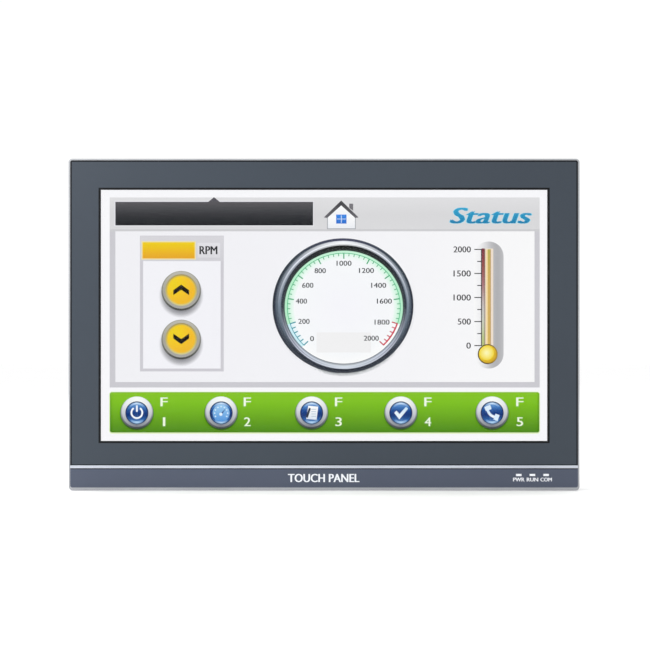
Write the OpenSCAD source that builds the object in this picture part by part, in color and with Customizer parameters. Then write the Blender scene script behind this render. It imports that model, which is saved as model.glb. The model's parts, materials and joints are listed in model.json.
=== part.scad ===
// Operator touch panel with a 15.6 inch wide screen, built into a cabinet cut-out.
// Millimetres. The screen faces -Y, +Y goes into the cabinet and +Z is up.
// The origin is the middle of the cut-out, on the cabinet face that the seal presses on.

/* [Front bezel] */
// Width of the bezel
bezel_w = 393; // [390:1:400]
// Height of the bezel
bezel_h = 255; // [253:1:262]
// Corner radius of the bezel
bezel_corner_r = 2.8; // [2.5:0.1:4]
// Thickness of the bezel
flange_t = 7; // [7:0.5:9]
// How far the bezel reaches past the housing on each side
cutout_overlap = 8; // [8:0.5:10]
// Bare metal edge left beside and above the printed films
side_rim = 1.2; // [1:0.1:1.6]
// Bare metal edge left below the printed films
bottom_rim = 2.1; // [1.6:0.1:2.4]
// Height of the bright trim strip's middle above the bezel's lower edge
trim_up = 18; // [17:0.5:19]
// Height of the bright trim strip
trim_h = 2.2; // [1.6:0.1:2.6]

/* [Screen] */
// Width of the picture
screen_w = 344.2; // [340:0.1:344.2]
// Height of the picture
screen_h = 193.6; // [190:0.1:193.6]
// Height of the picture's middle above the bezel's middle
screen_lift = 7; // [6:0.5:7]

/* [Indicators] */
// Distance of the middle indicator from the bezel's middle
indicator_x = 160.3; // [158:0.1:162]
// Distance between two indicators
indicator_pitch = 10.5; // [9:0.1:11]
// Height of the indicators above the bezel's lower edge
indicator_up = 11.7; // [11.5:0.1:12]

/* [Housing] */
// Depth of the housing behind the cabinet face
housing_depth = 40; // [40:1:48]
// Depth of the shallow part below the ports
bay_depth = 16; // [16:0.5:17]
// Height of the shallow part below the ports
bay_h = 27.5; // [27:0.5:27.5]
// Wall thickness of the housing
wall = 2.5; // [2.2:0.1:2.5]

/* [Mounting clamps] */
// Distance of the top and bottom clamps from the middle
clamp_span = 120; // [110:1:125]
// Travel of the clamp screws
screw_travel = 5; // [3:0.5:5]
// Sideways travel that frees a clamp's hook
release_travel = 9; // [9:0.5:10]

/* [Power plug] */
// Distance between two wire ways
pole_pitch = 5.08; // [5:0.01:5.08]
// Number of wire ways
poles = 3; // [3:1:3]

/* [Hidden] */
$fn = 48;
eps = 0.1;
clamps = 6;
dip_levers = 2;

// Depth planes, from the front to the back
seal_proud = 1;
front_y = -(flange_t + seal_proud);
flange_back_y = -seal_proud;
film_t = 0.4;
film_back_y = front_y + film_t;
touch_film_back_y = film_back_y + 0.3;
touch_back_y = touch_film_back_y + 1.9;
lcd_pocket_y = touch_back_y + 1.8;
lcd_front_y = lcd_pocket_y + 0.3;
lcd_t = 9.5;
chassis_y = lcd_front_y + lcd_t;
chassis_back_y = chassis_y + 1;
board_y = chassis_back_y + 11;
parts_y = board_y + 1.6;
bay_inner_y = bay_depth - wall;
cover_inner_y = housing_depth - wall;

// Bezel
trim_z = trim_up - bezel_h / 2;
indicator_z = indicator_up - bezel_h / 2;
touch_w = 358.4;
touch_h = 207.8;
window_r = 1.2;
indicator_w = 4.8;
indicator_h = 2;
seal_inset = 1.3;
seal_gap = 3;
seal_depth = 2;

// Touch tail, a ribbon that leaves the touch glass and ends on the board
tail_w = 16;
tail_t = 0.25;
tail_drop_z = -100.6;

// Screen module
lcd_w = 359.3;
lcd_h = 209;
lcd_skin = 0.8;

// Chassis plate and its posts
post_r = 2.8;
tap_r = 1.25;
screw_r = 1.2;
clear_r = 1.7;
screw_head_r = 2.7;
screw_head_h = 1.8;
chassis_posts = [for (sx = [-1, 1], z = [105, 35, -35, -93]) [sx * 182.8, z]];
indicator_posts = [[142, -109], [178, -109]];
chassis_half_w = 185.5;
chassis_z = [-99, 114.5];

// Main board
board_x = [-125, 125];
board_z = [-88, 52];
standoffs = [for (x = [-110, 0, 110], z = [-60, 45]) [x, z]];
processor = [-30, 0];

// Housing
housing_w = bezel_w - 2 * cutout_overlap;
housing_h = bezel_h - 2 * cutout_overlap;
housing_r = 4;
deep_z = bay_h - housing_h / 2;
port_wall_z = deep_z + wall;
cover_posts_at = [for (sx = [-1, 1], z = [95, 8, -80]) [sx * 165, z]];
vent_w = 3;
vent_pitch = 7;

// Ports, by the distance of their middles from the housing's middle
power_x = -95;
dip_x = -70;
usb_host_x = -48;
usb_device_x = -24;
ethernet_x = 6;
serial_female_x = 44;
serial_male_x = 88;
serial_y = parts_y + 6.25;
jack_spacing = 24.99;
jack_tap_r = 1.42;
power_y = parts_y + 5.5;
mouth_z = deep_z - 0.6;
plug_top_z = deep_z - 0.3;
plug_bottom_z = plug_top_z - 12;
wire_screw_z = plug_bottom_z + 5.8;
dip_slot_y = parts_y + 2.9;
dip_throw = 2;

// Battery compartment
battery_x = -142;
battery_z = -75;
door_top_z = -60;
door_half_w = 18;
rail = 1;
tray_floor_y = 26;
cell_r = 10;

// Clamps, in a frame of their own: x along the wall, z out of the wall
hook_half_w = 3.2;
hook_y = [8, 11];
hook_head_y = [6.9, 12.1];
hook_head_t = 1.55;
clamp_gap = 0.15;
foot_t = 1.2;
clamp_block_y = [9.5, 16.5];
clamp_axis = 4.5;
clamp_bore_r = 2.05;
pad_r = 2.7;
pad_y = [6.5, 9];
clamp_screw_r = 1.95;
clamp_head_y = [for (gap = [0.5, 3.5]) clamp_block_y[1] + screw_travel + gap];
// Each clamp's turn round the housing, its place along the wall and which way it slides free
clamp_seats = [
    [0, -clamp_span, 1],
    [0, clamp_span, -1],
    [90, 0, -1],
    [180, -clamp_span, 1],
    [180, clamp_span, -1],
    [270, 0, 1]
];

// ---- Shapes that repeat ----

// Extrudes an outline, drawn as seen from the front, from y = front to y = back
module slab(front, back) {
    translate([0, back, 0]) rotate([90, 0, 0]) linear_extrude(height = back - front) children();
}

// Rectangle with round corners, middle at the origin
module rounded(w, h, r) {
    square([w - 2 * r, h], center = true);
    square([w, h - 2 * r], center = true);
    for (sx = [-1, 1], sy = [-1, 1]) translate([sx * (w / 2 - r), sy * (h / 2 - r)]) circle(r);
}

// Box given by its two ends along each axis
module block(x, y, z) {
    translate([x[0], y[0], z[0]]) cube([x[1] - x[0], y[1] - y[0], z[1] - z[0]]);
}

// Round bar along Y
module rod(r, front, back) {
    translate([0, front, 0]) rotate([-90, 0, 0]) cylinder(r = r, h = back - front);
}

// Hexagonal bar along Y
module hex_rod(r, front, back) {
    translate([0, front, 0]) rotate([-90, 0, 0]) cylinder(r = r, h = back - front, $fn = 6);
}

// Places a child at each point of a list, drawn as seen from the front
module at(points) {
    for (p = points) translate([p[0], 0, p[1]]) children();
}

// Slot with round ends, long along Y of its drawing
module slot(w, length) {
    square([w, length - w], center = true);
    for (s = [-1, 1]) translate([0, s * (length - w) / 2]) circle(w / 2);
}

// Pan-head screw along Y, its head behind the plane at seat_y and its tip at tip_y
module pan_screw(tip_y, seat_y) {
    difference() {
        union() {
            rod(screw_r, tip_y, seat_y + eps);
            rod(screw_head_r, seat_y, seat_y + screw_head_h);
        }
        for (turn = [0, 90]) {
            rotate([0, turn, 0]) block([-1.5, 1.5], [seat_y + 0.8, seat_y + 2], [-0.3, 0.3]);
        }
    }
}

// ---- Front ----

// Outline of the recess that holds both printed films
module film_outline() {
    translate([0, (bottom_rim - side_rim) / 2])
        rounded(bezel_w - 2 * side_rim, bezel_h - side_rim - bottom_rim, bezel_corner_r - side_rim);
}

module seal_ring() {
    difference() {
        rounded(bezel_w - 2 * seal_inset, bezel_h - 2 * seal_inset, 2.2);
        rounded(housing_w + 2 * seal_gap, housing_h + 2 * seal_gap, 6);
    }
}

// Places a child at each indicator
module at_indicators() {
    for (i = [-1:1]) translate([indicator_x + i * indicator_pitch, 0, indicator_z]) children();
}

module indicator_window(front, back) {
    block([-indicator_w / 2, indicator_w / 2], [front, back], [-indicator_h / 2, indicator_h / 2]);
}

module front_bezel() {
    color("silver") difference() {
        union() {
            slab(front_y, flange_back_y) rounded(bezel_w, bezel_h, bezel_corner_r);
            at(concat(chassis_posts, indicator_posts)) rod(post_r, flange_back_y - 1, chassis_y);
        }
        slab(front_y - 1, film_back_y) film_outline();
        translate([0, 0, screen_lift]) {
            slab(film_back_y - eps, touch_back_y) square([touch_w + 0.4, touch_h + 0.4], center = true);
            slab(touch_back_y - eps, lcd_pocket_y + eps)
                square([screen_w + 2, screen_h + 2], center = true);
            slab(lcd_pocket_y, flange_back_y + eps) square([lcd_w + 0.7, lcd_h + 2], center = true);
        }
        block(
            [-tail_w / 2 - 1.5, tail_w / 2 + 1.5],
            [film_back_y - eps, flange_back_y + eps],
            [tail_drop_z - 1, tail_drop_z + 4.1]
        );
        slab(flange_back_y - seal_depth, flange_back_y + eps) seal_ring();
        at_indicators() indicator_window(front_y - eps, flange_back_y + eps);
        at(concat(chassis_posts, indicator_posts)) rod(tap_r, -0.5, chassis_y + eps);
    }
}

module panel_seal() {
    color("black") slab(flange_back_y - seal_depth, 0) seal_ring();
}

module overlay_film() {
    color("slategray") difference() {
        intersection() {
            slab(front_y, film_back_y) film_outline();
            block([-bezel_w, bezel_w], [-20, 0], [trim_z + trim_h / 2, bezel_h]);
        }
        translate([0, 0, screen_lift])
            slab(front_y - 1, 0) rounded(screen_w + 0.2, screen_h + 0.2, window_r);
    }
}

module trim_strip() {
    color("gainsboro") block(
        [side_rim - bezel_w / 2, bezel_w / 2 - side_rim],
        [front_y - 0.2, film_back_y],
        [trim_z - trim_h / 2, trim_z + trim_h / 2]
    );
}

module label_strip() {
    color("lightslategray") difference() {
        intersection() {
            slab(front_y, film_back_y) film_outline();
            block([-bezel_w, bezel_w], [-20, 0], [-bezel_h, trim_z - trim_h / 2]);
        }
        at_indicators() indicator_window(front_y - 1, 0);
    }
}

module indicator_light_pipes() {
    color("white") at_indicators() block(
        [0.2 - indicator_w / 2, indicator_w / 2 - 0.2],
        [front_y + 0.05, chassis_y - 1],
        [0.1 - indicator_h / 2, indicator_h / 2 - 0.1]
    );
}

// ---- Touch panel ----

module touch_film() {
    color("white", 0.2) translate([0, 0, screen_lift])
        slab(film_back_y, touch_film_back_y) square([touch_w, touch_h], center = true);
}

module touch_glass() {
    color("white", 0.2) translate([0, 0, screen_lift])
        slab(touch_film_back_y, touch_back_y) square([touch_w, touch_h], center = true);
}

module touch_tail() {
    half = tail_w / 2;
    front = touch_film_back_y + 0.7;
    back = bay_inner_y - 0.9;
    plug_z = [board_z[0] + 2, board_z[0] + 7];
    color("orange") {
        block([-half, half], [front, front + tail_t], [tail_drop_z, screen_lift - touch_h / 2]);
        block([-half, half], [front, back + tail_t], [tail_drop_z, tail_drop_z + tail_t]);
        block([-half, half], [back, back + tail_t], [tail_drop_z, plug_z[0]]);
        block([-half - 1.5, half + 1.5], [back - 1, board_y], plug_z);
    }
}

// ---- Screen module ----

module lcd_front_frame() {
    color("silver") translate([0, 0, screen_lift]) difference() {
        slab(lcd_front_y, chassis_y - lcd_skin) square([lcd_w, lcd_h], center = true);
        slab(lcd_front_y - 1, chassis_y) square([screen_w + 2.2, screen_h + 2.2], center = true);
        slab(lcd_front_y + 0.6, chassis_y)
            square([lcd_w - 2 * lcd_skin, lcd_h - 2 * lcd_skin], center = true);
    }
}

module lcd_cell() {
    color("white") translate([0, 0, screen_lift])
        slab(lcd_front_y + 0.6, lcd_front_y + 2) square([352, 203], center = true);
}

module light_guide() {
    color("whitesmoke") translate([0, 0, screen_lift])
        slab(lcd_front_y + 2, chassis_y - lcd_skin) square([354, 204], center = true);
}

module lcd_back_plate() {
    color("silver") translate([0, 0, screen_lift])
        slab(chassis_y - lcd_skin, chassis_y) square([lcd_w, lcd_h], center = true);
}

// ---- Chassis and boards ----

module chassis_plate() {
    color("lightgray") difference() {
        block([-chassis_half_w, chassis_half_w], [chassis_y, chassis_back_y], chassis_z);
        at(chassis_posts) rod(clear_r, chassis_y - 1, chassis_back_y + 1);
        for (s = [-1, 1]) translate([s * (chassis_half_w + 0.5), 0, 0])
            block([-3, 3], [chassis_y - 1, chassis_back_y + 1], [-20, 20]);
        block([-155, -149], [chassis_y - 1, chassis_back_y + 1], [-72, -48]);
    }
}

module chassis_screws() {
    color("silver") {
        at(chassis_posts) pan_screw(chassis_y - 6, chassis_back_y);
        at(indicator_posts) pan_screw(chassis_y - 5.4, chassis_back_y + 0.6);
    }
}

module board_standoffs() {
    color("gold") at(standoffs) difference() {
        hex_rod(3.2, chassis_back_y, board_y);
        rod(tap_r, chassis_back_y + 3, board_y + eps);
    }
}

module main_board() {
    color("darkgreen") difference() {
        block(board_x, [board_y, parts_y], board_z);
        at(standoffs) rod(clear_r, board_y - 1, parts_y + 1);
    }
}

module board_screws() {
    color("silver") at(standoffs) pan_screw(parts_y - 8, parts_y);
}

// A flat chip of the given size, standing on the board's back
module chip(w, h, t) {
    block([-w / 2, w / 2], [parts_y, parts_y + t], [-h / 2, h / 2]);
}

module board_chips() {
    color("dimgray") {
        at([processor]) chip(16, 16, 1.6);
        at([[0, 10], [0, -8]]) chip(14, 9, 1.1);
        at([[32, 12]]) chip(12, 18, 1.2);
        at([[24, -50]]) chip(9, 9, 1);
        at([[44, -58], [88, -58]]) chip(10, 7, 1.6);
        at([[66, 10], [66, 24]]) chip(8, 8, 1);
    }
}

module heat_sink() {
    base_y = parts_y + 1.6;
    fins = 9;
    fin_pitch = (40 - 1.2) / (fins - 1);
    color("darkgray") at([processor]) {
        block([-20, 20], [base_y, base_y + 3], [-20, 20]);
        for (i = [0:fins - 1]) {
            x = i * fin_pitch - 20;
            block([x, x + 1.2], [base_y + 3 - eps, base_y + 11], [-20, 20]);
        }
    }
}

module board_power_parts() {
    color("darkslategray") {
        at([[-95, -46], [-95, -28]]) chip(12.5, 12.5, 7);
        at([[-74, -52], [-74, -38], [-60, -45]]) rod(5, parts_y, parts_y + 12);
        at([[-116, -38]]) chip(6, 12, 3);
        at([[-84, -10]]) chip(10, 15, 4);
    }
}

module indicator_board() {
    color("darkgreen") difference() {
        block([138, 182.4], [chassis_y, chassis_y + 1.6], [-116.6, -104]);
        at(indicator_posts) rod(clear_r, 0, 12);
    }
    color("white") at_indicators() block([-1.6, 1.6], [chassis_y - 0.9, chassis_y], [-0.4, 1.2]);
}

module display_ribbon() {
    reach_y = board_y + 3.2;
    color("steelblue") {
        block([-152, -151.4], [chassis_y, reach_y], [-69, -51]);
        block([-152, -124], [reach_y, reach_y + 0.6], [-69, -51]);
        block([-124, -118], [parts_y, parts_y + 3.4], [-71, -49]);
    }
}

// ---- Ports, all facing down ----

module power_socket() {
    color("darkgreen") translate([power_x, power_y, 0]) {
        difference() {
            block([-9.2, 9.2], [-5.5, 5.5], [deep_z + 0.5, deep_z + 14]);
            block([-8.1, 8.1], [-4.4, 4.4], [deep_z, deep_z + 10]);
        }
        for (i = [-1:1]) translate([i * pole_pitch, 0, 0])
            block([-0.5, 0.5], [-0.5, 0.5], [deep_z + 2, deep_z + 10 + eps]);
    }
}

module power_plug() {
    color("seagreen") translate([power_x, power_y, 0]) difference() {
        union() {
            block([-7.9, 7.9], [-4.2, 4.2], [plug_top_z - eps, deep_z + 9.4]);
            block([-9.2, 9.2], [-5.9, 7.7], [plug_bottom_z, plug_top_z]);
        }
        for (i = [-1:1]) translate([i * pole_pitch, 0, 0]) {
            block([-0.8, 0.8], [-0.8, 0.8], [deep_z + 1, deep_z + 10]);
            block([-1.8, 1.8], [-3, 1.2], [plug_bottom_z - 1, plug_bottom_z + 7.5]);
            translate([0, 0, wire_screw_z]) rod(1.9, 2.4, 8);
        }
    }
}

// A captive screw that closes the clamp on one wire
module plug_screw(i) {
    color("silver") translate([power_x + (i - 2) * pole_pitch, power_y, wire_screw_z]) difference() {
        rod(1.8, 2.5, 7.2);
        block([-2, 2], [6.4, 8], [-0.3, 0.3]);
    }
}

module usb_host_port() {
    color("silver") translate([usb_host_x, parts_y, 0]) {
        difference() {
            block([-6.6, 6.6], [0, 5.8], [mouth_z, mouth_z + 14]);
            block([-6.2, 6.2], [0.4, 5.4], [mouth_z - 1, mouth_z + 9]);
        }
        block([-5.6, 5.6], [3.1, 4.9], [mouth_z + 0.8, mouth_z + 9 + eps]);
    }
}

module usb_device_port() {
    color("silver") translate([usb_device_x, parts_y, 0]) {
        difference() {
            block([-6, 6], [0, 10.8], [mouth_z, mouth_z + 15]);
            block([-4.25, 4.25], [1.5, 9.3], [mouth_z - 1, mouth_z + 9]);
        }
        block([-2.8, 2.8], [3.8, 7], [mouth_z + 1, mouth_z + 9 + eps]);
    }
}

module ethernet_port() {
    color("silver") translate([ethernet_x, parts_y, 0]) difference() {
        block([-8, 8], [0, 13.5], [mouth_z, mouth_z + 16]);
        block([-5.95, 5.95], [2.2, 10.1], [mouth_z - 1, mouth_z + 12]);
        block([-3.1, 3.1], [10, 11.8], [mouth_z - 1, mouth_z + 5]);
    }
}

// D-shaped outline of a nine-way connector, the wide side away from the board
module d_outline(grow) {
    wide = 8.45 + grow;
    narrow = 7.1 + grow;
    half = 4.15 + grow;
    cut = 1.1;
    polygon([
        [cut - narrow, -half], [narrow - cut, -half], [narrow, cut - half], [wide, half - cut],
        [wide - cut, half], [cut - wide, half], [-wide, half - cut], [-narrow, cut - half]
    ]);
}

// Where the nine contacts stand: five in the wide row and four in the other
function contact_spots() = concat(
    [for (i = [-2:2]) [i * 2.77, 1.42]],
    [for (i = [-1.5:1:1.5]) [i * 2.77, -1.42]]
);

// What both serial ports share: flange, body and the two jack posts
module serial_shell() {
    shell_bottom = port_wall_z - 6;
    difference() {
        union() {
            block([-15.4, 15.4], [-6.25, 6.25], [port_wall_z, port_wall_z + 1]);
            block([-9.5, 9.5], [-5.5, 5.5], [port_wall_z + 1 - eps, port_wall_z + 10]);
            translate([0, 0, shell_bottom]) linear_extrude(height = 6 + eps) d_outline(0.5);
        }
        translate([0, 0, shell_bottom - 1]) linear_extrude(height = 7) d_outline(0);
        for (s = [-1, 1]) translate([s * jack_spacing / 2, 0, port_wall_z - 1])
            cylinder(r = clear_r, h = 3);
    }
    for (s = [-1, 1]) translate([s * jack_spacing / 2, 0, 0]) difference() {
        union() {
            translate([0, 0, deep_z - 5]) cylinder(r = 2.9, h = 5, $fn = 6);
            translate([0, 0, deep_z - 1]) cylinder(r = 1.5, h = wall + 2.5);
        }
        translate([0, 0, deep_z - 5 - eps]) cylinder(r = jack_tap_r, h = 5);
    }
}

module serial_port_female() {
    color("silver") translate([serial_female_x, serial_y, 0]) {
        serial_shell();
        difference() {
            translate([0, 0, port_wall_z - 5.6]) linear_extrude(height = 5.6 + eps) d_outline(-0.4);
            for (p = contact_spots()) translate([p[0], p[1], port_wall_z - 6])
                cylinder(r = 0.55, h = 4.4);
        }
    }
}

module serial_port_male() {
    color("silver") translate([serial_male_x, serial_y, 0]) {
        serial_shell();
        for (p = contact_spots()) translate([p[0], p[1], port_wall_z - 5.2])
            cylinder(r = 0.5, h = 5.2 + eps);
    }
}

module dip_switch() {
    color("firebrick") translate([dip_x, 0, 0]) difference() {
        block([-3.9, 3.9], [parts_y, parts_y + 9.8], [deep_z + 0.4, deep_z + 7]);
        for (s = [-1, 1]) translate([s * 1.27, dip_slot_y, 0])
            block([-0.75, 0.75], [0, dip_throw + 2.2], [deep_z, deep_z + 1.8]);
    }
}

module dip_lever(i) {
    color("white") translate([dip_x + (2 * i - 3) * 1.27, dip_slot_y, 0])
        block([-0.6, 0.6], [0.2, 2], [deep_z - 0.9, deep_z + 1.7]);
}

// ---- Rear housing ----

// Outline of the deep part, above the ports
module deep_outline(inset, r) {
    top = housing_h / 2 - inset;
    bottom = deep_z + inset;
    translate([0, (top + bottom) / 2]) rounded(housing_w - 2 * inset, top - bottom, r);
}

module port_windows() {
    through = [deep_z - 1, port_wall_z + 1];
    translate([power_x, power_y, 0]) block([-9.4, 9.4], [-5.7, 5.7], through);
    translate([dip_x, parts_y, 0]) block([-4.2, 4.2], [-0.3, 10.1], through);
    translate([usb_host_x, parts_y, 0]) block([-6.9, 6.9], [-0.3, 6.1], through);
    translate([usb_device_x, parts_y, 0]) block([-6.3, 6.3], [-0.3, 11.1], through);
    translate([ethernet_x, parts_y, 0]) block([-8.3, 8.3], [-0.3, 13.8], through);
    for (x = [serial_female_x, serial_male_x]) translate([x, serial_y, through[0]]) {
        linear_extrude(height = through[1] - through[0]) d_outline(0.9);
        for (s = [-1, 1]) translate([s * jack_spacing / 2, 0, 0])
            cylinder(r = clear_r, h = through[1] - through[0]);
    }
}

// Two banks of slots in the back and one row in the top
module vents() {
    for (side = [-1, 1], i = [-6:6]) {
        translate([side * 92 + i * vent_pitch, 0, 74])
            slab(cover_inner_y - 1, housing_depth + 1) slot(vent_w, 34);
    }
    for (i = [-7:7]) {
        translate([i * vent_pitch, 28, housing_h / 2 - wall - 1])
            linear_extrude(height = wall + 2) slot(vent_w, 15);
    }
}

// Keyhole for a clamp's hook: wide where the hook goes in, narrow where it holds
module clamp_keyhole() {
    through = [-wall - 1, 1];
    catch_end = release_travel - hook_half_w - 0.4;
    block([-hook_half_w - 0.3, release_travel + 1], hook_y + [-0.15, 0.15], through);
    block([catch_end, release_travel + hook_half_w + 0.3], hook_head_y + [-0.2, 0.2], through);
}

// Grooved recess that the battery door slides in, open at its lower end
module door_recess() {
    half = door_half_w + 0.15;
    tall = [deep_z - 1, door_top_z + 0.15];
    translate([battery_x, 0, 0]) {
        block([-half - rail, half + rail], [cover_inner_y + 0.8, housing_depth - 0.9], tall);
        block([-half, half], [housing_depth - 1, housing_depth + 1], tall);
        block([-15, 15], [cover_inner_y - 1, housing_depth], [battery_z - 12, battery_z + 12]);
    }
}

module rear_cover() {
    color("dimgray") difference() {
        union() {
            slab(flange_back_y, bay_depth) rounded(housing_w, housing_h, housing_r);
            slab(bay_depth - 1, housing_depth) deep_outline(0, housing_r);
        }
        slab(flange_back_y - 1, bay_inner_y)
            rounded(housing_w - 2 * wall, housing_h - 2 * wall, housing_r - wall);
        slab(flange_back_y - 1, cover_inner_y) deep_outline(wall, housing_r - wall);
        port_windows();
        vents();
        for (seat = clamp_seats) at_clamp(seat) clamp_keyhole();
        door_recess();
        at(cover_posts_at) rod(clear_r, cover_inner_y - 1, housing_depth + 1);
    }
}

module cover_posts() {
    color("gold") at(cover_posts_at) difference() {
        hex_rod(3.2, chassis_back_y, cover_inner_y);
        rod(tap_r, cover_inner_y - 12, cover_inner_y + eps);
    }
}

module cover_screws() {
    color("silver") at(cover_posts_at) pan_screw(cover_inner_y - 8, housing_depth);
}

// ---- Battery compartment ----

module battery_tray() {
    color("ivory") translate([battery_x, 0, battery_z]) {
        difference() {
            block([-17, 17], [tray_floor_y, cover_inner_y], [-13.9, 13.9]);
            block([-15.2, 15.2], [tray_floor_y + 1.6, cover_inner_y + 1], [-12.2, 12.2]);
        }
        difference() {
            rod(cell_r + 1.3, tray_floor_y + 1.5, tray_floor_y + 3.8);
            rod(cell_r + 0.3, tray_floor_y + 1, tray_floor_y + 4);
            block([-20, 20], [tray_floor_y + 1, tray_floor_y + 4], [-4, 4]);
        }
    }
}

module coin_cell() {
    color("silver") translate([battery_x, 0, battery_z]) {
        rod(cell_r - 1, tray_floor_y + 1.6, tray_floor_y + 2.5);
        rod(cell_r, tray_floor_y + 2.4, tray_floor_y + 4.8);
    }
}

module battery_door() {
    tongue = door_half_w + rail;
    tall = [deep_z, door_top_z];
    color("dimgray") translate([battery_x, 0, 0]) {
        block([-tongue, tongue], [cover_inner_y + 0.95, housing_depth - 1], tall);
        block([-door_half_w, door_half_w], [housing_depth - 1 - eps, housing_depth - 0.05], tall);
        for (i = [0:4]) translate([0, 0, deep_z + 5 + i * 2.4])
            block([-8, 8], [housing_depth - 0.1, housing_depth + 0.4], [0, 1]);
    }
}

// ---- Mounting clamps ----

// Moves a child from the clamp's own frame to its seat on the housing wall
module at_clamp(seat) {
    out = seat[0] % 180 == 0 ? housing_h / 2 : housing_w / 2;
    rotate([0, seat[0], 0]) translate([seat[1], 0, out]) scale([seat[2], 1, 1]) children();
}

module clamp_bracket(i) {
    color("darkgray") at_clamp(clamp_seats[i - 1]) difference() {
        union() {
            block([-6, 6], clamp_block_y, [clamp_gap, cutout_overlap - 0.5]);
            block([-7, 7], [6.8, clamp_block_y[1]], [clamp_gap, clamp_gap + foot_t]);
            block([-hook_half_w, hook_half_w], hook_y, [-wall - clamp_gap - eps, clamp_gap + eps]);
            translate([0, 0, -wall - clamp_gap])
                block([-hook_half_w, hook_half_w], hook_head_y, [-hook_head_t, 0]);
        }
        translate([0, 0, clamp_axis]) rod(clamp_bore_r, 9, 17);
    }
}

// Foot that swivels on the screw's tip and presses on the cabinet panel
module clamp_pad(i) {
    color("black") at_clamp(clamp_seats[i - 1]) translate([0, 0, clamp_axis]) difference() {
        rod(pad_r, pad_y[0], pad_y[1]);
        rod(1.6, pad_y[0] + 1.2, pad_y[1] + 1);
    }
}

module clamp_screw(i) {
    color("silver") at_clamp(clamp_seats[i - 1]) translate([0, 0, clamp_axis]) difference() {
        union() {
            rod(1.5, pad_y[0] + 1.3, pad_y[1] + 0.2);
            rod(clamp_screw_r, pad_y[1] + 0.15, clamp_head_y[0] + eps);
            rod(3.2, clamp_head_y[0], clamp_head_y[1]);
        }
        block([-4, 4], [clamp_head_y[1] - 1.4, clamp_head_y[1] + 1], [-0.45, 0.45]);
    }
}

// ---- Draw ----

front_bezel();
panel_seal();
overlay_film();
trim_strip();
label_strip();
indicator_light_pipes();
touch_film();
touch_glass();
touch_tail();
lcd_front_frame();
lcd_cell();
light_guide();
lcd_back_plate();
chassis_plate();
chassis_screws();
board_standoffs();
main_board();
board_screws();
board_chips();
heat_sink();
board_power_parts();
power_socket();
power_plug();
for (i = [1:poles]) plug_screw(i);
usb_host_port();
usb_device_port();
ethernet_port();
serial_port_female();
serial_port_male();
dip_switch();
for (i = [1:dip_levers]) dip_lever(i);
indicator_board();
display_ribbon();
rear_cover();
cover_posts();
cover_screws();
battery_tray();
coin_cell();
battery_door();
for (i = [1:clamps]) clamp_bracket(i);
for (i = [1:clamps]) clamp_pad(i);
for (i = [1:clamps]) clamp_screw(i);
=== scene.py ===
import bmesh
import bpy
import json
import math
from mathutils import Matrix, Vector


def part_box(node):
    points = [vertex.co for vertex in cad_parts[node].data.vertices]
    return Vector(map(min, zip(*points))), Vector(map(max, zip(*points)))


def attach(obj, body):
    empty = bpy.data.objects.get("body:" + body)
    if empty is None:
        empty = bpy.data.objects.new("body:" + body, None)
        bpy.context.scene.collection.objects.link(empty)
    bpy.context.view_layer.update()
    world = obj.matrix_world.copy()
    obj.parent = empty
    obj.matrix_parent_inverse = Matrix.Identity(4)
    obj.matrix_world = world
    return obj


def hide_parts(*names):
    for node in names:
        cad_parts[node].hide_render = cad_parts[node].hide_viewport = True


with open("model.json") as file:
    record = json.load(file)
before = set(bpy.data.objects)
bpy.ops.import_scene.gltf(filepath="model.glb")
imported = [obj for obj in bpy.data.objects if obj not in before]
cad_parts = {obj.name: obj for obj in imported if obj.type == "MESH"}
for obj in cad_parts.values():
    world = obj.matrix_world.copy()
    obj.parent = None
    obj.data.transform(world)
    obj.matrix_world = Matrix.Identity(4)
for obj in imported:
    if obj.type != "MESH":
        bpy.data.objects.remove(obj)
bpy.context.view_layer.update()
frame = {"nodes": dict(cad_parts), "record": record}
nodes = frame["nodes"]
record = frame["record"]
MM = 0.001

# ---- Studio ----
# The panel stands upright on a white table in even light. A large soft lamp hangs to its upper
# left, and two more light the housing from behind, one from its left and one from its right.

panel_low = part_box("front_bezel")[0]


def linear(code):
    """A colour such as "#ffcc00" as linear red, green and blue."""
    parts = [int(code[i:i + 2], 16) / 255 for i in (1, 3, 5)]
    return tuple(c / 12.92 if c <= 0.04045 else ((c + 0.055) / 1.055) ** 2.4 for c in parts)


def feed(node, inputs):
    """Gives a shader node's inputs their values. Another node's output is linked instead."""
    for name, value in inputs.items():
        if isinstance(value, bpy.types.NodeSocket):
            node.id_data.links.new(value, node.inputs[name])
        else:
            node.inputs[name].default_value = value


def add_node(tree, kind, inputs):
    """A new shader node with its inputs fed."""
    node = tree.nodes.new(kind)
    feed(node, inputs)
    return node


def principled(name, colour, roughness, metallic=0.0):
    """A new material with one Principled shader, and that shader."""
    material = bpy.data.materials.new(name)
    material.use_nodes = True
    shader = material.node_tree.nodes["Principled BSDF"]
    feed(shader, {
        "Base Color": (*linear(colour), 1), "Roughness": roughness, "Metallic": metallic,
    })
    return material, shader


def wander(shader, factor, dark, light):
    """Lets a shader's colour wander between two tones, after a texture."""
    tone = shader.id_data.nodes.new("ShaderNodeMix")
    tone.data_type = "RGBA"
    feed(tone, {"Factor": factor, "A": (*linear(dark), 1), "B": (*linear(light), 1)})
    feed(shader, {"Base Color": tone.outputs["Result"]})


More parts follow.
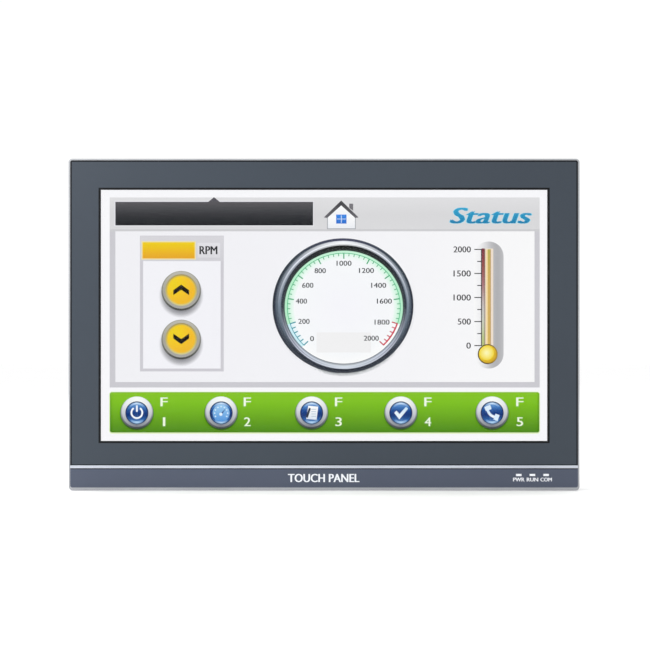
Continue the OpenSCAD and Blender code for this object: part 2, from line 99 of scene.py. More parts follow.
def add_table():
    """A white table under the panel, wide enough to have no visible edge."""
    half, gap = 6, 0.2 * MM
    bm = bmesh.new()
    bmesh.ops.create_grid(bm, x_segments=1, y_segments=1, size=half)
    bmesh.ops.translate(bm, verts=bm.verts, vec=(0, 0, panel_low.z - gap))
    mesh = bpy.data.meshes.new("table")
    bm.to_mesh(mesh)
    bm.free()
    table = bpy.data.objects.new("table", mesh)
    bpy.context.scene.collection.objects.link(table)
    material, shader = principled("white_table", "#fbfbfb", 0.8)
    speckle = add_node(material.node_tree, "ShaderNodeTexNoise", {"Scale": 60})
    wander(shader, speckle.outputs["Fac"], "#fafafa", "#fdfdfd")
    mesh.materials.append(material)


def add_lamp(name, place, size, power, colour="#ffffff"):
    """A square soft lamp aimed at the panel's middle."""
    light = bpy.data.lights.new(name, "AREA")
    light.energy = power
    light.size = size
    light.color = linear(colour)
    lamp = bpy.data.objects.new(name, light)
    bpy.context.scene.collection.objects.link(lamp)
    lamp.location = place
    lamp.visible_camera = False
    lamp.rotation_euler = (-Vector(place)).to_track_quat("-Z", "Y").to_euler()


def add_camera():
    """A long lens straight in front of the panel's middle, with a 500 mm wide field there."""
    lens = 135
    sensor = 36
    field = 500 * MM
    camera = bpy.data.cameras.new("camera")
    camera.lens = lens
    camera.sensor_width = sensor
    camera.clip_end = 50
    viewer = bpy.data.objects.new("camera", camera)
    bpy.context.scene.collection.objects.link(viewer)
    aim_x, aim_z = 0.7 * MM, -0.4 * MM
    viewer.location = (aim_x, panel_low.y - field * lens / sensor, aim_z)
    viewer.rotation_euler = (math.radians(90), 0, 0)
    bpy.context.scene.camera = viewer


add_table()
add_camera()
add_lamp("key_lamp", (-0.42, -0.38, 0.34), 0.3, 2.0)
add_lamp("back_lamp_left", (-1.0, 1.5, 1.2), 1.2, 20)
add_lamp("back_lamp_right", (1.4, 1.3, 0.5), 1.2, 8)
world = bpy.data.worlds.new("white_room")
world.use_nodes = True
feed(world.node_tree.nodes["Background"], {"Color": (*linear("#ffffff"), 1), "Strength": 1.03})
bpy.context.scene.world = world
bpy.context.scene.view_settings.view_transform = "Standard"

# ---- Front bezel ----
# One die-cast aluminium frame, machined on its front for the printed films and the touch glass,
# with ten posts behind it for the screws. Its edge is left bare and shows as a thin bright rim.


def surface_group():
    """The unevenness that every finish has: broad patches, and a grain that can be stretched."""
    group = bpy.data.node_groups.new("surface", "ShaderNodeTree")
    for name, kind in (
        ("Patch Scale", "NodeSocketFloat"),
        ("Grain Scale", "NodeSocketFloat"),
        ("Stretch", "NodeSocketVector"),
    ):
        group.interface.new_socket(name, in_out="INPUT", socket_type=kind)
    for name in ("Patches", "Grain"):
        group.interface.new_socket(name, in_out="OUTPUT", socket_type="NodeSocketFloat")
    given = group.nodes.new("NodeGroupInput")
    result = group.nodes.new("NodeGroupOutput")
    place = group.nodes.new("ShaderNodeTexCoord")
    pulled = group.nodes.new("ShaderNodeVectorMath")
    pulled.operation = "MULTIPLY"
    feed(pulled, {0: place.outputs["Object"], 1: given.outputs["Stretch"]})
    for name, scale, vector, detail in (
        ("Patches", "Patch Scale", place.outputs["Object"], 3),
        ("Grain", "Grain Scale", pulled.outputs["Vector"], 5),
    ):
        noise = add_node(group, "ShaderNodeTexNoise", {
            "Vector": vector, "Scale": given.outputs[scale], "Detail": detail,
        })
        sharper = add_node(group, "ShaderNodeMapRange", {
            "Value": noise.outputs["Fac"], "From Min": 0.3, "From Max": 0.7,
        })
        feed(result, {name: sharper.outputs["Result"]})
    return group


surface = surface_group()


def finish(name, dark, light, roughness, metallic=0.0, patch=25, grain=900, stretch=(1, 1, 1),
           uneven=0.06, relief=0.03, coat=0.0):
    """A material that wanders between two tones, with a grain in its gloss and its relief."""
    material, shader = principled(name, dark, roughness, metallic)
    tree = material.node_tree
    texture = tree.nodes.new("ShaderNodeGroup")
    texture.node_tree = surface
    feed(texture, {"Patch Scale": patch, "Grain Scale": grain, "Stretch": stretch})
    wander(shader, texture.outputs["Patches"], dark, light)
    gloss = add_node(tree, "ShaderNodeMapRange", {
        "Value": texture.outputs["Grain"], "To Min": max(roughness - uneven, 0.02),
        "To Max": min(roughness + uneven, 1),
    })
    bump = add_node(tree, "ShaderNodeBump", {
        "Height": texture.outputs["Grain"], "Strength": 0.5, "Distance": relief * MM,
    })
    feed(shader, {
        "Roughness": gloss.outputs["Result"], "Normal": bump.outputs["Normal"],
        "Coat Weight": coat, "Coat Roughness": 0.2,
    })
    return material


BODY_OF = {n: body for body, members in record["behaviour"]["bodies"].items() for n in members}


def coat_node(node, material):
    """Gives a CAD node's own object a finish."""
    nodes[node].data.materials.clear()
    nodes[node].data.materials.append(material)


def publish(bm, name, material, node, replaces=False, smooth=35):
    """Makes a mesh a piece of the panel that rides with a CAD node, and may stand for it."""
    mesh = bpy.data.meshes.new(name)
    bm.to_mesh(mesh)
    bm.free()
    mesh.materials.append(material)
    mesh.shade_smooth()
    mesh.set_sharp_from_angle(angle=math.radians(smooth))
    piece = bpy.data.objects.new(name, mesh)
    bpy.context.scene.collection.objects.link(piece)
    even = piece.modifiers.new("even_normals", "WEIGHTED_NORMAL")
    even.keep_sharp = True
    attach(piece, BODY_OF[node])
    if replaces:
        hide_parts(node)
    return piece


def merged(node):
    """A copy of a CAD node's mesh with its corners merged and its flat faces joined."""
    bm = bmesh.new()
    bm.from_mesh(nodes[node].data)
    bmesh.ops.remove_doubles(bm, verts=bm.verts, dist=0.002 * MM)
    bmesh.ops.dissolve_limit(bm, angle_limit=math.radians(0.6), verts=bm.verts, edges=bm.edges)
    return bm


def bevel(bm, geom, width, segments, affect="EDGES"):
    """Rounds edges, or the corners of a flat shape, by a width in millimetres."""
    bmesh.ops.bevel(
        bm, geom=geom, offset=width * MM, offset_type="OFFSET", segments=segments, profile=0.5,
        affect=affect, clamp_overlap=True, material=-1,
    )


def round_edges(bm, width, segments=2, sharpest=35, where=None):
    """Rounds the edges that are sharper than an angle, or those of them that where() picks."""
    sharp = [e for e in bm.edges if e.is_manifold and e.calc_face_angle(0) > math.radians(sharpest)]
    bevel(bm, [e for e in sharp if where is None or where(e)], width, segments)


def soften(node, material, width, segments=2, lining=None, inside=None, **more):
    """Puts a copy of a CAD node with rounded edges in the node's place. The faces that inside()
    picks by their middle get a second finish, the lining."""
    bm = merged(node)
    round_edges(bm, width, segments, **more)
    if lining:
        for face in bm.faces:
            if inside(face.calc_center_median()):
                face.material_index = 1
    piece = publish(bm, f"{node}_finished", material, node, replaces=True)
    if lining:
        piece.data.materials.append(lining)
    return piece


bezel_metal = finish(
    "satin_aluminium", "#9b9da1", "#a9abaf", 0.38, metallic=0.55, patch=14, grain=1500,
    stretch=(0.08, 1, 1), relief=0.01,
)
soften("front_bezel", bezel_metal, 0.3)

# ---- Panel seal ----
# A soft black rubber ring in a groove behind the bezel. It stands 1 mm proud, and the cabinet's
# sheet presses it flat.

seal_rubber = finish("seal_rubber", "#17181a", "#1e1f21", 0.75, patch=40, grain=700, relief=0.06)
soften("panel_seal", seal_rubber, 0.45, segments=3)

# ---- Printed films ----
# A polyester film, printed on its rear in slate grey, covers the bezel down to the trim strip. A
# second, bluer one lies below the strip, with three small windows for the indicators.

overlay_print = finish(
    "slate_print", "#252f3b", "#29343f", 0.45, patch=5, grain=2600, relief=0.012, coat=0.05,
)
label_print = finish(
    "blue_slate_print", "#3c4456", "#41495b", 0.45, patch=5, grain=2600, relief=0.012, coat=0.05,
)
coat_node("overlay_film", overlay_print)
coat_node("label_strip", label_print)

# ---- Marks printed on the films, and painted shade ----
# White ink names the three indicators and says what the object is. Dark lines frame the window
# and the film's outer edge, and two more along the trim strip's edges are painted shade.

FACING = Matrix.Rotation(math.radians(90), 4, "X")
film_low, film_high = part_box("overlay_film")
strip_low, strip_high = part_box("label_strip")
trim_low, trim_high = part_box("trim_strip")
PRINT_Y = film_low.y - 0.02 * MM


def flat(colour):
    """The same ink everywhere."""
    ink = (*linear(colour), 1)
    return lambda place: ink


def blend_of(stops, share):
    """The colour at a share of the way along (share, colour) stops."""
    share = min(max(share, stops[0][0]), stops[-1][0])
    for (at, colour), (end, other) in zip(stops, stops[1:]):
        if share <= end:
            part = (share - at) / (end - at)
            return (*(a + (b - a) * part for a, b in zip(linear(colour), linear(other))), 1)
    return (*linear(stops[-1][1]), 1)


class Sheet:
    """Flat ink shapes that face the viewer. Sizes are in millimetres from the sheet's middle."""

    def __init__(self, middle, y):
        self.bm = bmesh.new()
        self.ink = self.bm.verts.layers.float_color.new("ink")
        self.middle = middle
        self.y = y

    def place(self, x, z, up=0):
        """A point on the sheet, some hundredths of a millimetre in front of it."""
        return Vector((self.middle[0] + x * MM, self.y - up * 0.01 * MM, self.middle[1] + z * MM))

    def paint(self, old, shade):
        """Inks the vertices that weren't there before."""
        for vertex in self.bm.verts:
            if vertex not in old:
                x = (vertex.co.x - self.middle[0]) / MM
                z = (vertex.co.z - self.middle[1]) / MM
                vertex[self.ink] = shade((x, z))

    def box(self, left, bottom, right, top, shade, up=0, steps=(1, 1), corner=0):
        """A rectangle, cut into steps across and up so that a shade can change over it."""
        old = set(self.bm.verts)
        size = Matrix.Diagonal(((right - left) / 2 * MM, (top - bottom) / 2 * MM, 1, 1))
        middle = Matrix.Translation(self.place((left + right) / 2, (bottom + top) / 2, up))
        bmesh.ops.create_grid(
            self.bm, x_segments=steps[0], y_segments=steps[1], size=1, matrix=middle @ FACING @ size
        )
        if corner:
            new = [v for v in self.bm.verts if v not in old]
            ends = [v for v in new if len(v.link_edges) == 2]
            bevel(self.bm, ends, corner, 5, affect="VERTICES")
        self.paint(old, shade)

    def frame(self, left, bottom, right, top, line, shade, up=0):
        """Four thin boxes round a rectangle's inside edge."""
        self.box(left, bottom, right, bottom + line, shade, up)
        self.box(left, top - line, right, top, shade, up)
        self.box(left, bottom + line, left + line, top - line, shade, up)
        self.box(right - line, bottom + line, right, top - line, shade, up)

    def ring(self, x, z, radii, shade, up=0, start=0, turn=360, steps=96, squash=1.0):
        """Bands between radii round a middle, from a start angle, where 0 is right and 90 is up."""
        old = set(self.bm.verts)
        way = Vector((math.cos(math.radians(start)), 0, math.sin(math.radians(start))))
        middle = self.place(x, z, up)
        line = [self.bm.verts.new(middle + way * r * MM) for r in radii]
        edges = [self.bm.edges.new(pair) for pair in zip(line, line[1:])]
        bmesh.ops.spin(
            self.bm, geom=line + edges, cent=middle, axis=(0, -1, 0), dvec=(0, 0, 0),
            angle=math.radians(turn), steps=steps, use_merge=turn == 360,
        )
        new = [v for v in self.bm.verts if v not in old]
        bmesh.ops.remove_doubles(self.bm, verts=new, dist=0.001 * MM)
        new = [v for v in self.bm.verts if v not in old]
        bmesh.ops.scale(self.bm, verts=new, vec=(1, 1, squash), space=Matrix.Translation(-middle))
        self.paint(old, shade)

    def outline(self, points, shade, up=0):
        """A filled outline through points, in order."""
        old = set(self.bm.verts)
        self.bm.faces.new([self.bm.verts.new(self.place(x, z, up)) for x, z in points])
        self.paint(old, shade)

    def words(self, text, x, z, height, shade, width, up=0, bold=0.0, slant=0.0, to_left=False):
        """Plain lettering of a given height and width, round a middle or to the left of it. Bold
        lettering is laid down twice, a little apart."""
        if bold:
            for lift, side in enumerate((-1, 1)):
                self.words(text, x + side * bold / 2, z, height, shade, width, up + lift,
                           slant=slant, to_left=to_left)
            return
        old = set(self.bm.verts)
        curve = bpy.data.curves.new("lettering", "FONT")
        curve.body = text
        curve.shear = slant
        curve.resolution_u = 3
        writing = bpy.data.objects.new("lettering", curve)
        bpy.context.scene.collection.objects.link(writing)
        bpy.context.view_layer.update()
        mesh = bpy.data.meshes.new_from_object(writing)
        bpy.data.objects.remove(writing)
        bpy.data.curves.remove(curve)
        low = Vector((min(v.co.x for v in mesh.vertices), min(v.co.y for v in mesh.vertices), 0))
        high = Vector((max(v.co.x for v in mesh.vertices), max(v.co.y for v in mesh.vertices), 0))
        tall = height * MM / (high.y - low.y)
        wide = width * MM / (high.x - low.x)
        anchor = high.x if to_left else (low.x + high.x) / 2
        mesh.transform(
            Matrix.Translation(self.place(x, z, up)) @ FACING @ Matrix.Diagonal((wide, tall, 1, 1))
            @ Matrix.Translation((-anchor, -(low.y + high.y) / 2, 0))
        )
        self.bm.from_mesh(mesh)
        bpy.data.meshes.remove(mesh)
        self.paint(old, shade)

    def publish(self, name, material, node, facing=-1):
        """Turns every face to the front, or with 1 to the back, and adds the sheet to the panel."""
        self.bm.normal_update()
        turned_away = [f for f in self.bm.faces if f.normal.y * facing < 0]
        bmesh.ops.reverse_faces(self.bm, faces=turned_away)
        return publish(self.bm, name, material, node)


def inked(name, roughness, glow=0.0, spread=0.0):
    """A material that takes its colour from the ink: print, painted shade, or a picture lit from
    behind.
    """
    material, shader = principled(name, "#808080", roughness)
    tree = material.node_tree
    ink = tree.nodes.new("ShaderNodeAttribute")
    ink.attribute_name = "ink"
    place = tree.nodes.new("ShaderNodeTexCoord")
    noise = add_node(tree, "ShaderNodeTexNoise", {"Vector": place.outputs["Object"], "Scale": 9})
    even = add_node(tree, "ShaderNodeMapRange", {
        "Value": noise.outputs["Fac"], "To Min": 1 - spread, "To Max": 1,
    })
    tone = tree.nodes.new("ShaderNodeVectorMath")
    tone.operation = "SCALE"
    feed(tone, {0: ink.outputs["Color"], "Scale": even.outputs["Result"]})
    if glow:
        dim = tree.nodes.new("ShaderNodeVectorMath")
        dim.operation = "SCALE"
        feed(dim, {0: tone.outputs["Vector"], "Scale": 0.02})
        feed(shader, {
            "Base Color": dim.outputs["Vector"], "Emission Color": tone.outputs["Vector"],
            "Emission Strength": glow, "Specular IOR Level": 0.1,
        })
    else:
        feed(shader, {"Base Color": tone.outputs["Vector"], "Specular IOR Level": 0.15})
    return material


WHITE_INK = flat("#e9ebf0")
TRIM_PAINTED_SHADE = flat("#0e1015")
EDGE_INK = flat("#101217")
print_and_painted_shade_ink = inked("print_and_painted_shade_ink", 0.45, spread=0.04)
pipes_low, pipes_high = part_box("indicator_light_pipes")
marks = Sheet((0, 0), PRINT_Y)
strip_middle = (strip_low.z + strip_high.z) / 2 / MM
indicator_middle = (pipes_low.x + pipes_high.x) / 2 / MM
indicator_z = (pipes_low.z + pipes_high.z) / 2 / MM
INDICATOR_STEP = 10.5
for step, label in zip((-1, 0, 1), ("PWR", "RUN", "COM")):
    marks.words(label, indicator_middle + step * INDICATOR_STEP, indicator_z - 3.5, 2.9, WHITE_INK,
                width=8.6, bold=0.3)
marks.words("TOUCH PANEL", -0.3, strip_middle - 0.1, 6.4, WHITE_INK, width=54.5, bold=0.5)
TRIM_LINE, WINDOW_LINE, EDGE_LINE = 0.7, 1.3, 1.2
trim_foot, trim_head = trim_low.z / MM, trim_high.z / MM
# Painted shade: two dark lines along the trim strip's edges, where the strip stands proud of the
# films.
marks.box(strip_low.x / MM, trim_head, strip_high.x / MM, trim_head + TRIM_LINE, TRIM_PAINTED_SHADE)
marks.box(strip_low.x / MM, trim_foot - TRIM_LINE, strip_high.x / MM, trim_foot, TRIM_PAINTED_SHADE)
WINDOW_Z = 7
line_x, line_z = 172.2 + WINDOW_LINE, 96.9 + WINDOW_LINE
marks.frame(-line_x, WINDOW_Z - line_z, line_x, WINDOW_Z + line_z, WINDOW_LINE, flat("#06080b"))
FILM_CORNER = 1.6
film_left, film_right, film_top = film_low.x / MM, film_high.x / MM, film_high.z / MM
for left in (film_left, film_right - EDGE_LINE):
    marks.box(left, trim_head + TRIM_LINE, left + EDGE_LINE, film_top - FILM_CORNER, EDGE_INK)
corner_left, corner_right = film_left + FILM_CORNER, film_right - FILM_CORNER
marks.box(corner_left, film_top - EDGE_LINE, corner_right, film_top, EDGE_INK)
for x, start in ((corner_left, 90), (corner_right, 0)):
    marks.ring(x, film_top - FILM_CORNER, [FILM_CORNER - EDGE_LINE, FILM_CORNER], EDGE_INK,
               start=start, turn=90, steps=8)
marks.publish("film_marks", print_and_painted_shade_ink, "overlay_film")

# ---- Trim strip ----
# A thin bright strip, pressed into the groove between the two films. Its front is crowned, so
# that it catches the light along its whole length.

trim_metal = finish(
    "bright_trim", "#b4b9c4", "#c3c8d2", 0.3, metallic=0.35, patch=18, grain=1400,
    stretch=(0.02, 1, 1), relief=0.008,
)
soften("trim_strip", trim_metal, 0.18, segments=3)

# ---- Indicators ----
# Three milky light pipes end flush with the film. Behind them a small board carries their
# diodes, and none of them is lit.

pipe_plastic = finish(
    "milky_pipe", "#e8ebf0", "#f4f6fa", 0.3, patch=60, grain=900, relief=0.02, coat=0.3,
)
soften("indicator_light_pipes", pipe_plastic, 0.2)

# ---- Touch panel ----
# A clear hardened film over a sheet of glass, with a thin ribbon that carries its signals to
# the board. The film's front is slightly matt.

clear_film, film_shader = principled("touch_film_clear", "#1c1d1e", 0.22)
film_tree = clear_film.node_tree
haze_place = film_tree.nodes.new("ShaderNodeTexCoord")
haze = add_node(film_tree, "ShaderNodeTexNoise", {
    "Vector": haze_place.outputs["Object"], "Scale": 2500,
})
haze_relief = add_node(film_tree, "ShaderNodeBump", {
    "Height": haze.outputs["Fac"], "Strength": 0.2, "Distance": 0.01 * MM,
})
feed(film_shader, {"Alpha": 0.06, "Normal": haze_relief.outputs["Normal"]})
coat_node("touch_film", clear_film)
clear_glass, glass_shader = principled("touch_glass_clear", "#1b1f1e", 0.05)
tint = add_node(clear_glass.node_tree, "ShaderNodeTexNoise", {"Scale": 12})
wander(glass_shader, tint.outputs["Fac"], "#181d1c", "#1d201f")
feed(glass_shader, {"Alpha": 0.04})
coat_node("touch_glass", clear_glass)
ribbon_amber = finish(
    "amber_ribbon", "#a8631c", "#bd7425", 0.35, patch=60, grain=900, stretch=(1, 0.1, 0.1),
    coat=0.4,
)
coat_node("touch_tail", ribbon_amber)

# ---- Screen module ----
# A liquid crystal cell on a light guide, held between a bright sheet-metal frame and a back
# plate. The black border round the picture is hidden behind the printed film.

cell_glass = finish(
    "cell_glass", "#202226", "#26282c", 0.2, patch=12, grain=600, relief=0.005, coat=0.5,
)
coat_node("lcd_cell", cell_glass)
guide_plastic = finish("light_guide_plastic", "#e6e7e4", "#f0f1ee", 0.35, patch=20, grain=700)
coat_node("light_guide", guide_plastic)
module_sheet = finish(
    "module_sheet", "#a9abad", "#b6b8ba", 0.35, metallic=0.9, patch=16, grain=900,
    stretch=(0.1, 1, 1),
)
coat_node("lcd_front_frame", module_sheet)
coat_node("lcd_back_plate", module_sheet)

# ---- Picture: page ----
# What the screen shows is drawn on its cell in flat layers of lit colour. The page has a grey
# frame and header, a dark title bar with a pointer, a small house and a plain word.

cell_low, cell_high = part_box("lcd_cell")
window_middle = (0, (cell_low.z + cell_high.z) / 2)
PICTURE_Y = cell_low.y - 0.05 * MM
HALF_PICTURE = (172.1, 96.8)
lit_picture = inked("lit_picture", 0.3, glow=1.1, spread=0.02)


def upright(bottom, top, *colours):
    """Ink that changes from the bottom to the top of a shape."""
    stops = [(i / (len(colours) - 1), c) for i, c in enumerate(colours)]
    return lambda place: blend_of(stops, (place[1] - bottom) / (top - bottom))


def across(left, right, *colours):
    """Ink that changes from the left to the right of a shape."""
    stops = [(i / (len(colours) - 1), c) for i, c in enumerate(colours)]
    return lambda place: blend_of(stops, (place[0] - left) / (right - left))


def from_middle(x, z, stops):
    """Ink that changes with the distance from a middle."""
    return lambda place: blend_of(stops, math.hypot(place[0] - x, place[1] - z))


def grown(box, by_x, by_z):
    """A box (left, bottom, right, top) that reaches further on every side."""
    left, bottom, right, top = box
    return left - by_x, bottom - by_z, right + by_x, top + by_z


PAGE = (-165.4, -55.6, 166.3, 91.0)
HEADER_BOTTOM = 64.9
TITLE = (-161.0, 69.4, -8.5, 87.6)
POINTER_X = -84.9
page = Sheet(window_middle, PICTURE_Y)
page.box(-HALF_PICTURE[0], -HALF_PICTURE[1], HALF_PICTURE[0], HALF_PICTURE[1], flat("#fbfbfe"))
page.box(*PAGE, flat("#cdccd2"), up=4)
page.box(PAGE[0], HEADER_BOTTOM, PAGE[2], PAGE[3],
         upright(HEADER_BOTTOM, PAGE[3], "#dcdcde", "#dadadc", "#e2e2e4"), up=8, steps=(1, 4))
page.box(PAGE[0], HEADER_BOTTOM - 0.4, PAGE[2], HEADER_BOTTOM + 1.6, flat("#cfcfd2"), up=9)
page.box(-161.0, -51.4, 162.3, HEADER_BOTTOM, across(-161, 162.3, "#f3f3f7", "#f5f5f9", "#fbfbfc"),
         up=12, steps=(6, 1))
page.box(*grown(TITLE, 0.7, 0.7), flat("#e9e9ee"), up=12)
page.box(*TITLE, upright(TITLE[1], TITLE[3], "#1d1e22", "#26282c", "#36373b", "#4a4a4e", "#5a585c"),
         up=16, steps=(1, 9))
page.outline(
    [(POINTER_X - 4.4, TITLE[3]), (POINTER_X + 4.4, TITLE[3]), (POINTER_X, PAGE[3] + 0.2)],
    flat("#55535a"), up=16,
)

HOUSE_X = 13.2
EAVES_Z, RIDGE_Z = 75.6, 88.6
CHIMNEY_LEFT, CHIMNEY_RIGHT = HOUSE_X + 6.2, HOUSE_X + 9.2
page.outline(
    [(CHIMNEY_LEFT, 83.0), (CHIMNEY_RIGHT, 80.6), (CHIMNEY_RIGHT, 86.2), (CHIMNEY_LEFT, 86.2)],
    flat("#77757a"), up=18,
)
page.outline([(2.7, 67.0), (24.0, 67.0), (24.0, 76.6), (HOUSE_X, 85.6), (2.7, 76.6)],
             upright(67, 86, "#e9edf3", "#ffffff"), up=20)
page.frame(2.3, 66.6, 24.4, 76.0, 0.5, flat("#9a9ca2"), up=21)
page.box(3.2, 67.4, 23.5, 77.0, upright(67, 77, "#eef1f6", "#ffffff"), up=22)
for side in (-1, 1):
    page.outline(
        [(HOUSE_X, RIDGE_Z), (HOUSE_X + side * 13.4, EAVES_Z),
         (HOUSE_X + side * 10.8, EAVES_Z - 0.4), (HOUSE_X, RIDGE_Z - 3.8)],
        upright(EAVES_Z, RIDGE_Z, "#67666b", "#3c3b3f"), up=24,
    )
page.box(9.3, 70.8, 17.3, 77.8, upright(70.8, 77.8, "#2f6fd0", "#3e8be8"), up=26, steps=(1, 3))
page.box(13.0, 71.4, 13.6, 77.2, flat("#cfe2fa"), up=28)
page.box(9.9, 74.1, 16.7, 74.6, flat("#cfe2fa"), up=28)
for height, shade, up, bold in (
    (12.6, flat("#8fdcf0"), 20, 2.2),
    (12.2, upright(71, 83, "#1f7fae", "#36a6d2"), 23, 1.2),
):
    page.words("Status", 128.5, 77.0, height, shade, up=up, width=62, slant=0.25, bold=bold)
page.publish("picture_page", lit_picture, "lcd_cell")

# ---- Picture: speed setting ----
# A box with an empty yellow field, its unit, and two round yellow keys that raise and lower the
# value. Each key has a grey rim and a soft shadow under it.

BOX = (-142.0, -43.2, -77.4, 61.5)
BOX_HEAD = 41.9
FIELD = (-140.0, 43.9, -99.8, 56.4)
KEY_X = -110.2
speed = Sheet(window_middle, PICTURE_Y)
speed.box(*BOX, flat("#cfcdd4"), up=18)
speed.box(BOX[0] + 0.4, BOX_HEAD, BOX[2] - 0.4, BOX[3] - 0.4,
          upright(BOX_HEAD, BOX[3], "#d3d2d8", "#dad9de"), up=20, steps=(1, 2))
speed.box(BOX[0] + 2.4, BOX[1] + 2.2, BOX[2] - 2.4, BOX_HEAD, flat("#f5f5fa"), up=22)
speed.box(*grown(FIELD, 0.8, 0.8), flat("#f3e6a8"), up=24)
speed.box(*FIELD, upright(FIELD[1], FIELD[3], "#e8a728", "#eeb51f", "#f0c616", "#efcf1c"),
          up=26, steps=(1, 6))
speed.box(-97.6, 44.6, -80.2, 56.0, upright(44.6, 56, "#dedde2", "#e4e3e8"), up=24)
speed.words("RPM", -89.2, 50.3, 6.2, flat("#2c2c30"), up=28, width=13.4, bold=0.5)
KEY_RINGS = (
    (0, 15.3, 15, "#474846", "#84847c", "#a3a298"),
    (0.5, 14.3, 14, "#a9a8a4", "#a8a69a", "#bdbbb0"),
    (0.6, 12.2, 12, "#d9cf8c", "#c2b468", "#a3955c"),
    (0.6, 11.2, 12, "#efc44a", "#e4bd44", "#d9bd4c"),
)
for key_z, way in ((19.0, 1), (-18.6, -1)):
    shadow_z = key_z - 3.6
    shadow = from_middle(KEY_X, shadow_z, [(11, "#77787c"), (14.6, "#b9b9be"), (17.4, "#f5f5fa")])
    speed.ring(KEY_X, shadow_z, [0, 12, 14.6, 17.4], shadow, up=26)
    for layer, (lift, radius, reach, *colours) in enumerate(KEY_RINGS):
        shade = upright(key_z - reach, key_z + reach, *colours)
        speed.ring(KEY_X, key_z + lift, [0, radius], shade, up=30 + 2 * layer)
    shade = from_middle(KEY_X - 5, key_z + 5, [(0, "#efd51c"), (6, "#f6cf1e"), (14, "#f4bd2a")])
    speed.ring(KEY_X, key_z + 0.6, [0, 4, 8, 10.4], shade, up=38)
    tip, waist = key_z + 0.6 + way * 4.2, key_z + 0.6 + way * 0.2
    speed.outline(
        [(KEY_X - 6.1, waist - way * 4.2), (KEY_X - 6.1, waist - way * 0.4), (KEY_X, tip),
         (KEY_X + 6.1, waist - way * 0.4), (KEY_X + 6.1, waist - way * 4.2), (KEY_X, waist)],
        flat("#120d08"), up=42,
    )
speed.publish("picture_speed_box", lit_picture, "lcd_cell")

# ---- Picture: round gauge ----
# A dial from 0 to 2000 in a dark glossy ring. Its scale is blue at the low end, green over most
# of its length and red at the high end, with a tick for every 40 and a number for every 200.

DIAL = (15.2, 6.4)
SQUASH = 0.955
SCALE_R = 43.6
SCALE_START, SCALE_TURN, SCALE_END = 225, 270, 2000
gauge = Sheet(window_middle, PICTURE_Y)


def scale_angle(value):
    return SCALE_START - SCALE_TURN * value / SCALE_END


def by_angle(middle, top, shoulder, side, hip, bottom):
    """Ink that changes round a ring, from its top over its sides to its bottom."""
    stops = [(-90, bottom), (-45, hip), (0, side), (45, shoulder), (90, top)]

    def shade(place):
        sideways, height = place[0] - middle[0], place[1] - middle[1]
        return blend_of(stops, math.degrees(math.atan2(height, abs(sideways))))
    return shade


def polar(radius, angle):
    turn = math.radians(angle)
    return (DIAL[0] + radius * math.cos(turn), DIAL[1] + SQUASH * radius * math.sin(turn))


def dial_ring(radii, shade, up, **more):
    gauge.ring(*DIAL, radii, shade, up=up, squash=SQUASH, **more)


gauge_shadow = (DIAL[0] - 0.2, DIAL[1] - 0.2)
shade = from_middle(*gauge_shadow, [(49, "#4a4f55"), (51.4, "#a3a8aa"), (54, "#f5f5f9")])
gauge.ring(*gauge_shadow, [40, 51, 53.6, 55.6], shade, up=12, squash=SQUASH)
LEAN = (-0.65, 1.1)
LEAN_FROM, LEAN_TO = 48.7, 54.35
RING_LAYERS = (
    (54.35, 52.0, "#4a4b62", "#364049", "#2b303d", "#3a3f4a", "#3a3f48"),
    (52.6, 50.4, "#e6e8f2", "#6c757e", "#485260", "#383d48", "#2b303a"),
    (51.9, 49.9, "#fbfdff", "#98a0ab", "#5a6673", "#30353f", "#262b36"),
    (50.7, 49.1, "#f8fafc", "#e8edf8", "#72808f", "#262b37", "#20252f"),
    (49.7, 48.4, "#cfd1d2", "#a2a8b4", "#768695", "#4c515e", "#3a3f4c"),
    (48.7, 47.7, "#202020", "#23272f", "#47525f", "#c4c9da", "#d4dbe6"),
    (47.9, 46.8, "#121510", "#25282e", "#2c333e", "#9096a6", "#dbe3ed"),
    (47.3, 46.0, "#222523", "#2a2e33", "#3c424a", "#ccd3e2", "#d4dce4"),
    (46.7, 45.0, "#2e3432", "#282f2e", "#465053", "#a4acbb", "#a9afb4"),
    (46.1, 44.0, "#16201d", "#1b2723", "#3f4c48", "#5c6874", "#747a7f"),
)
for layer, (half_w, half_h, *colours) in enumerate(RING_LAYERS):
    lean = max(half_w - LEAN_FROM, 0) / (LEAN_TO - LEAN_FROM)
    middle = (DIAL[0] + LEAN[0] * lean, DIAL[1] + LEAN[1] * lean)
    gauge.ring(*middle, [44, half_w], by_angle(middle, *colours), up=16 + 2 * layer,
               squash=half_h / half_w)
FACE_R = 45.6
dial_ring([0, 20, 38, 41.5, FACE_R],
          from_middle(*DIAL, [(0, "#f8f8fd"), (38, "#f9fbfd"), (45, "#ffffff")]), 36)
gauge.box(DIAL[0] - 21, DIAL[1] - 35, DIAL[0] + 21, DIAL[1] - 19.5, flat("#f3f3f4"), up=38)
mint_start, mint_end = scale_angle(1800), scale_angle(200)
mint = [(37.5, "#f9fbfd"), (40.5, "#e6fbef"), (42.5, "#c6f5d8"), (45, "#b2ebc8")]
pale_blue = [(39, "#f9fbfd"), (42.6, "#dff6fb"), (44.6, "#c4ecf5")]
dial_ring([38.5, 41, 43.4, FACE_R], from_middle(*DIAL, mint), 40,
          start=mint_start, turn=mint_end - mint_start, steps=72)
dial_ring([40, 42.6, FACE_R], from_middle(*DIAL, pale_blue), 40, start=mint_end, turn=27, steps=12)
NUMBER_PLACES = (
    (-24.5, -24.3), (-30.7, -11.0), (-32.7, 4.6), (-27.8, 16.8), (-18.2, 28.1), (0.2, 33.8),
    (17.5, 28.2), (26.9, 16.8), (31.3, 4.6), (29.5, -11.6), (21.2, -24.0),
)
SCALE_COLOURS = ((0, 200, "#3fa4b8"), (200, 1800, "#62c992"), (1800, 2000, "#cf3f52"))
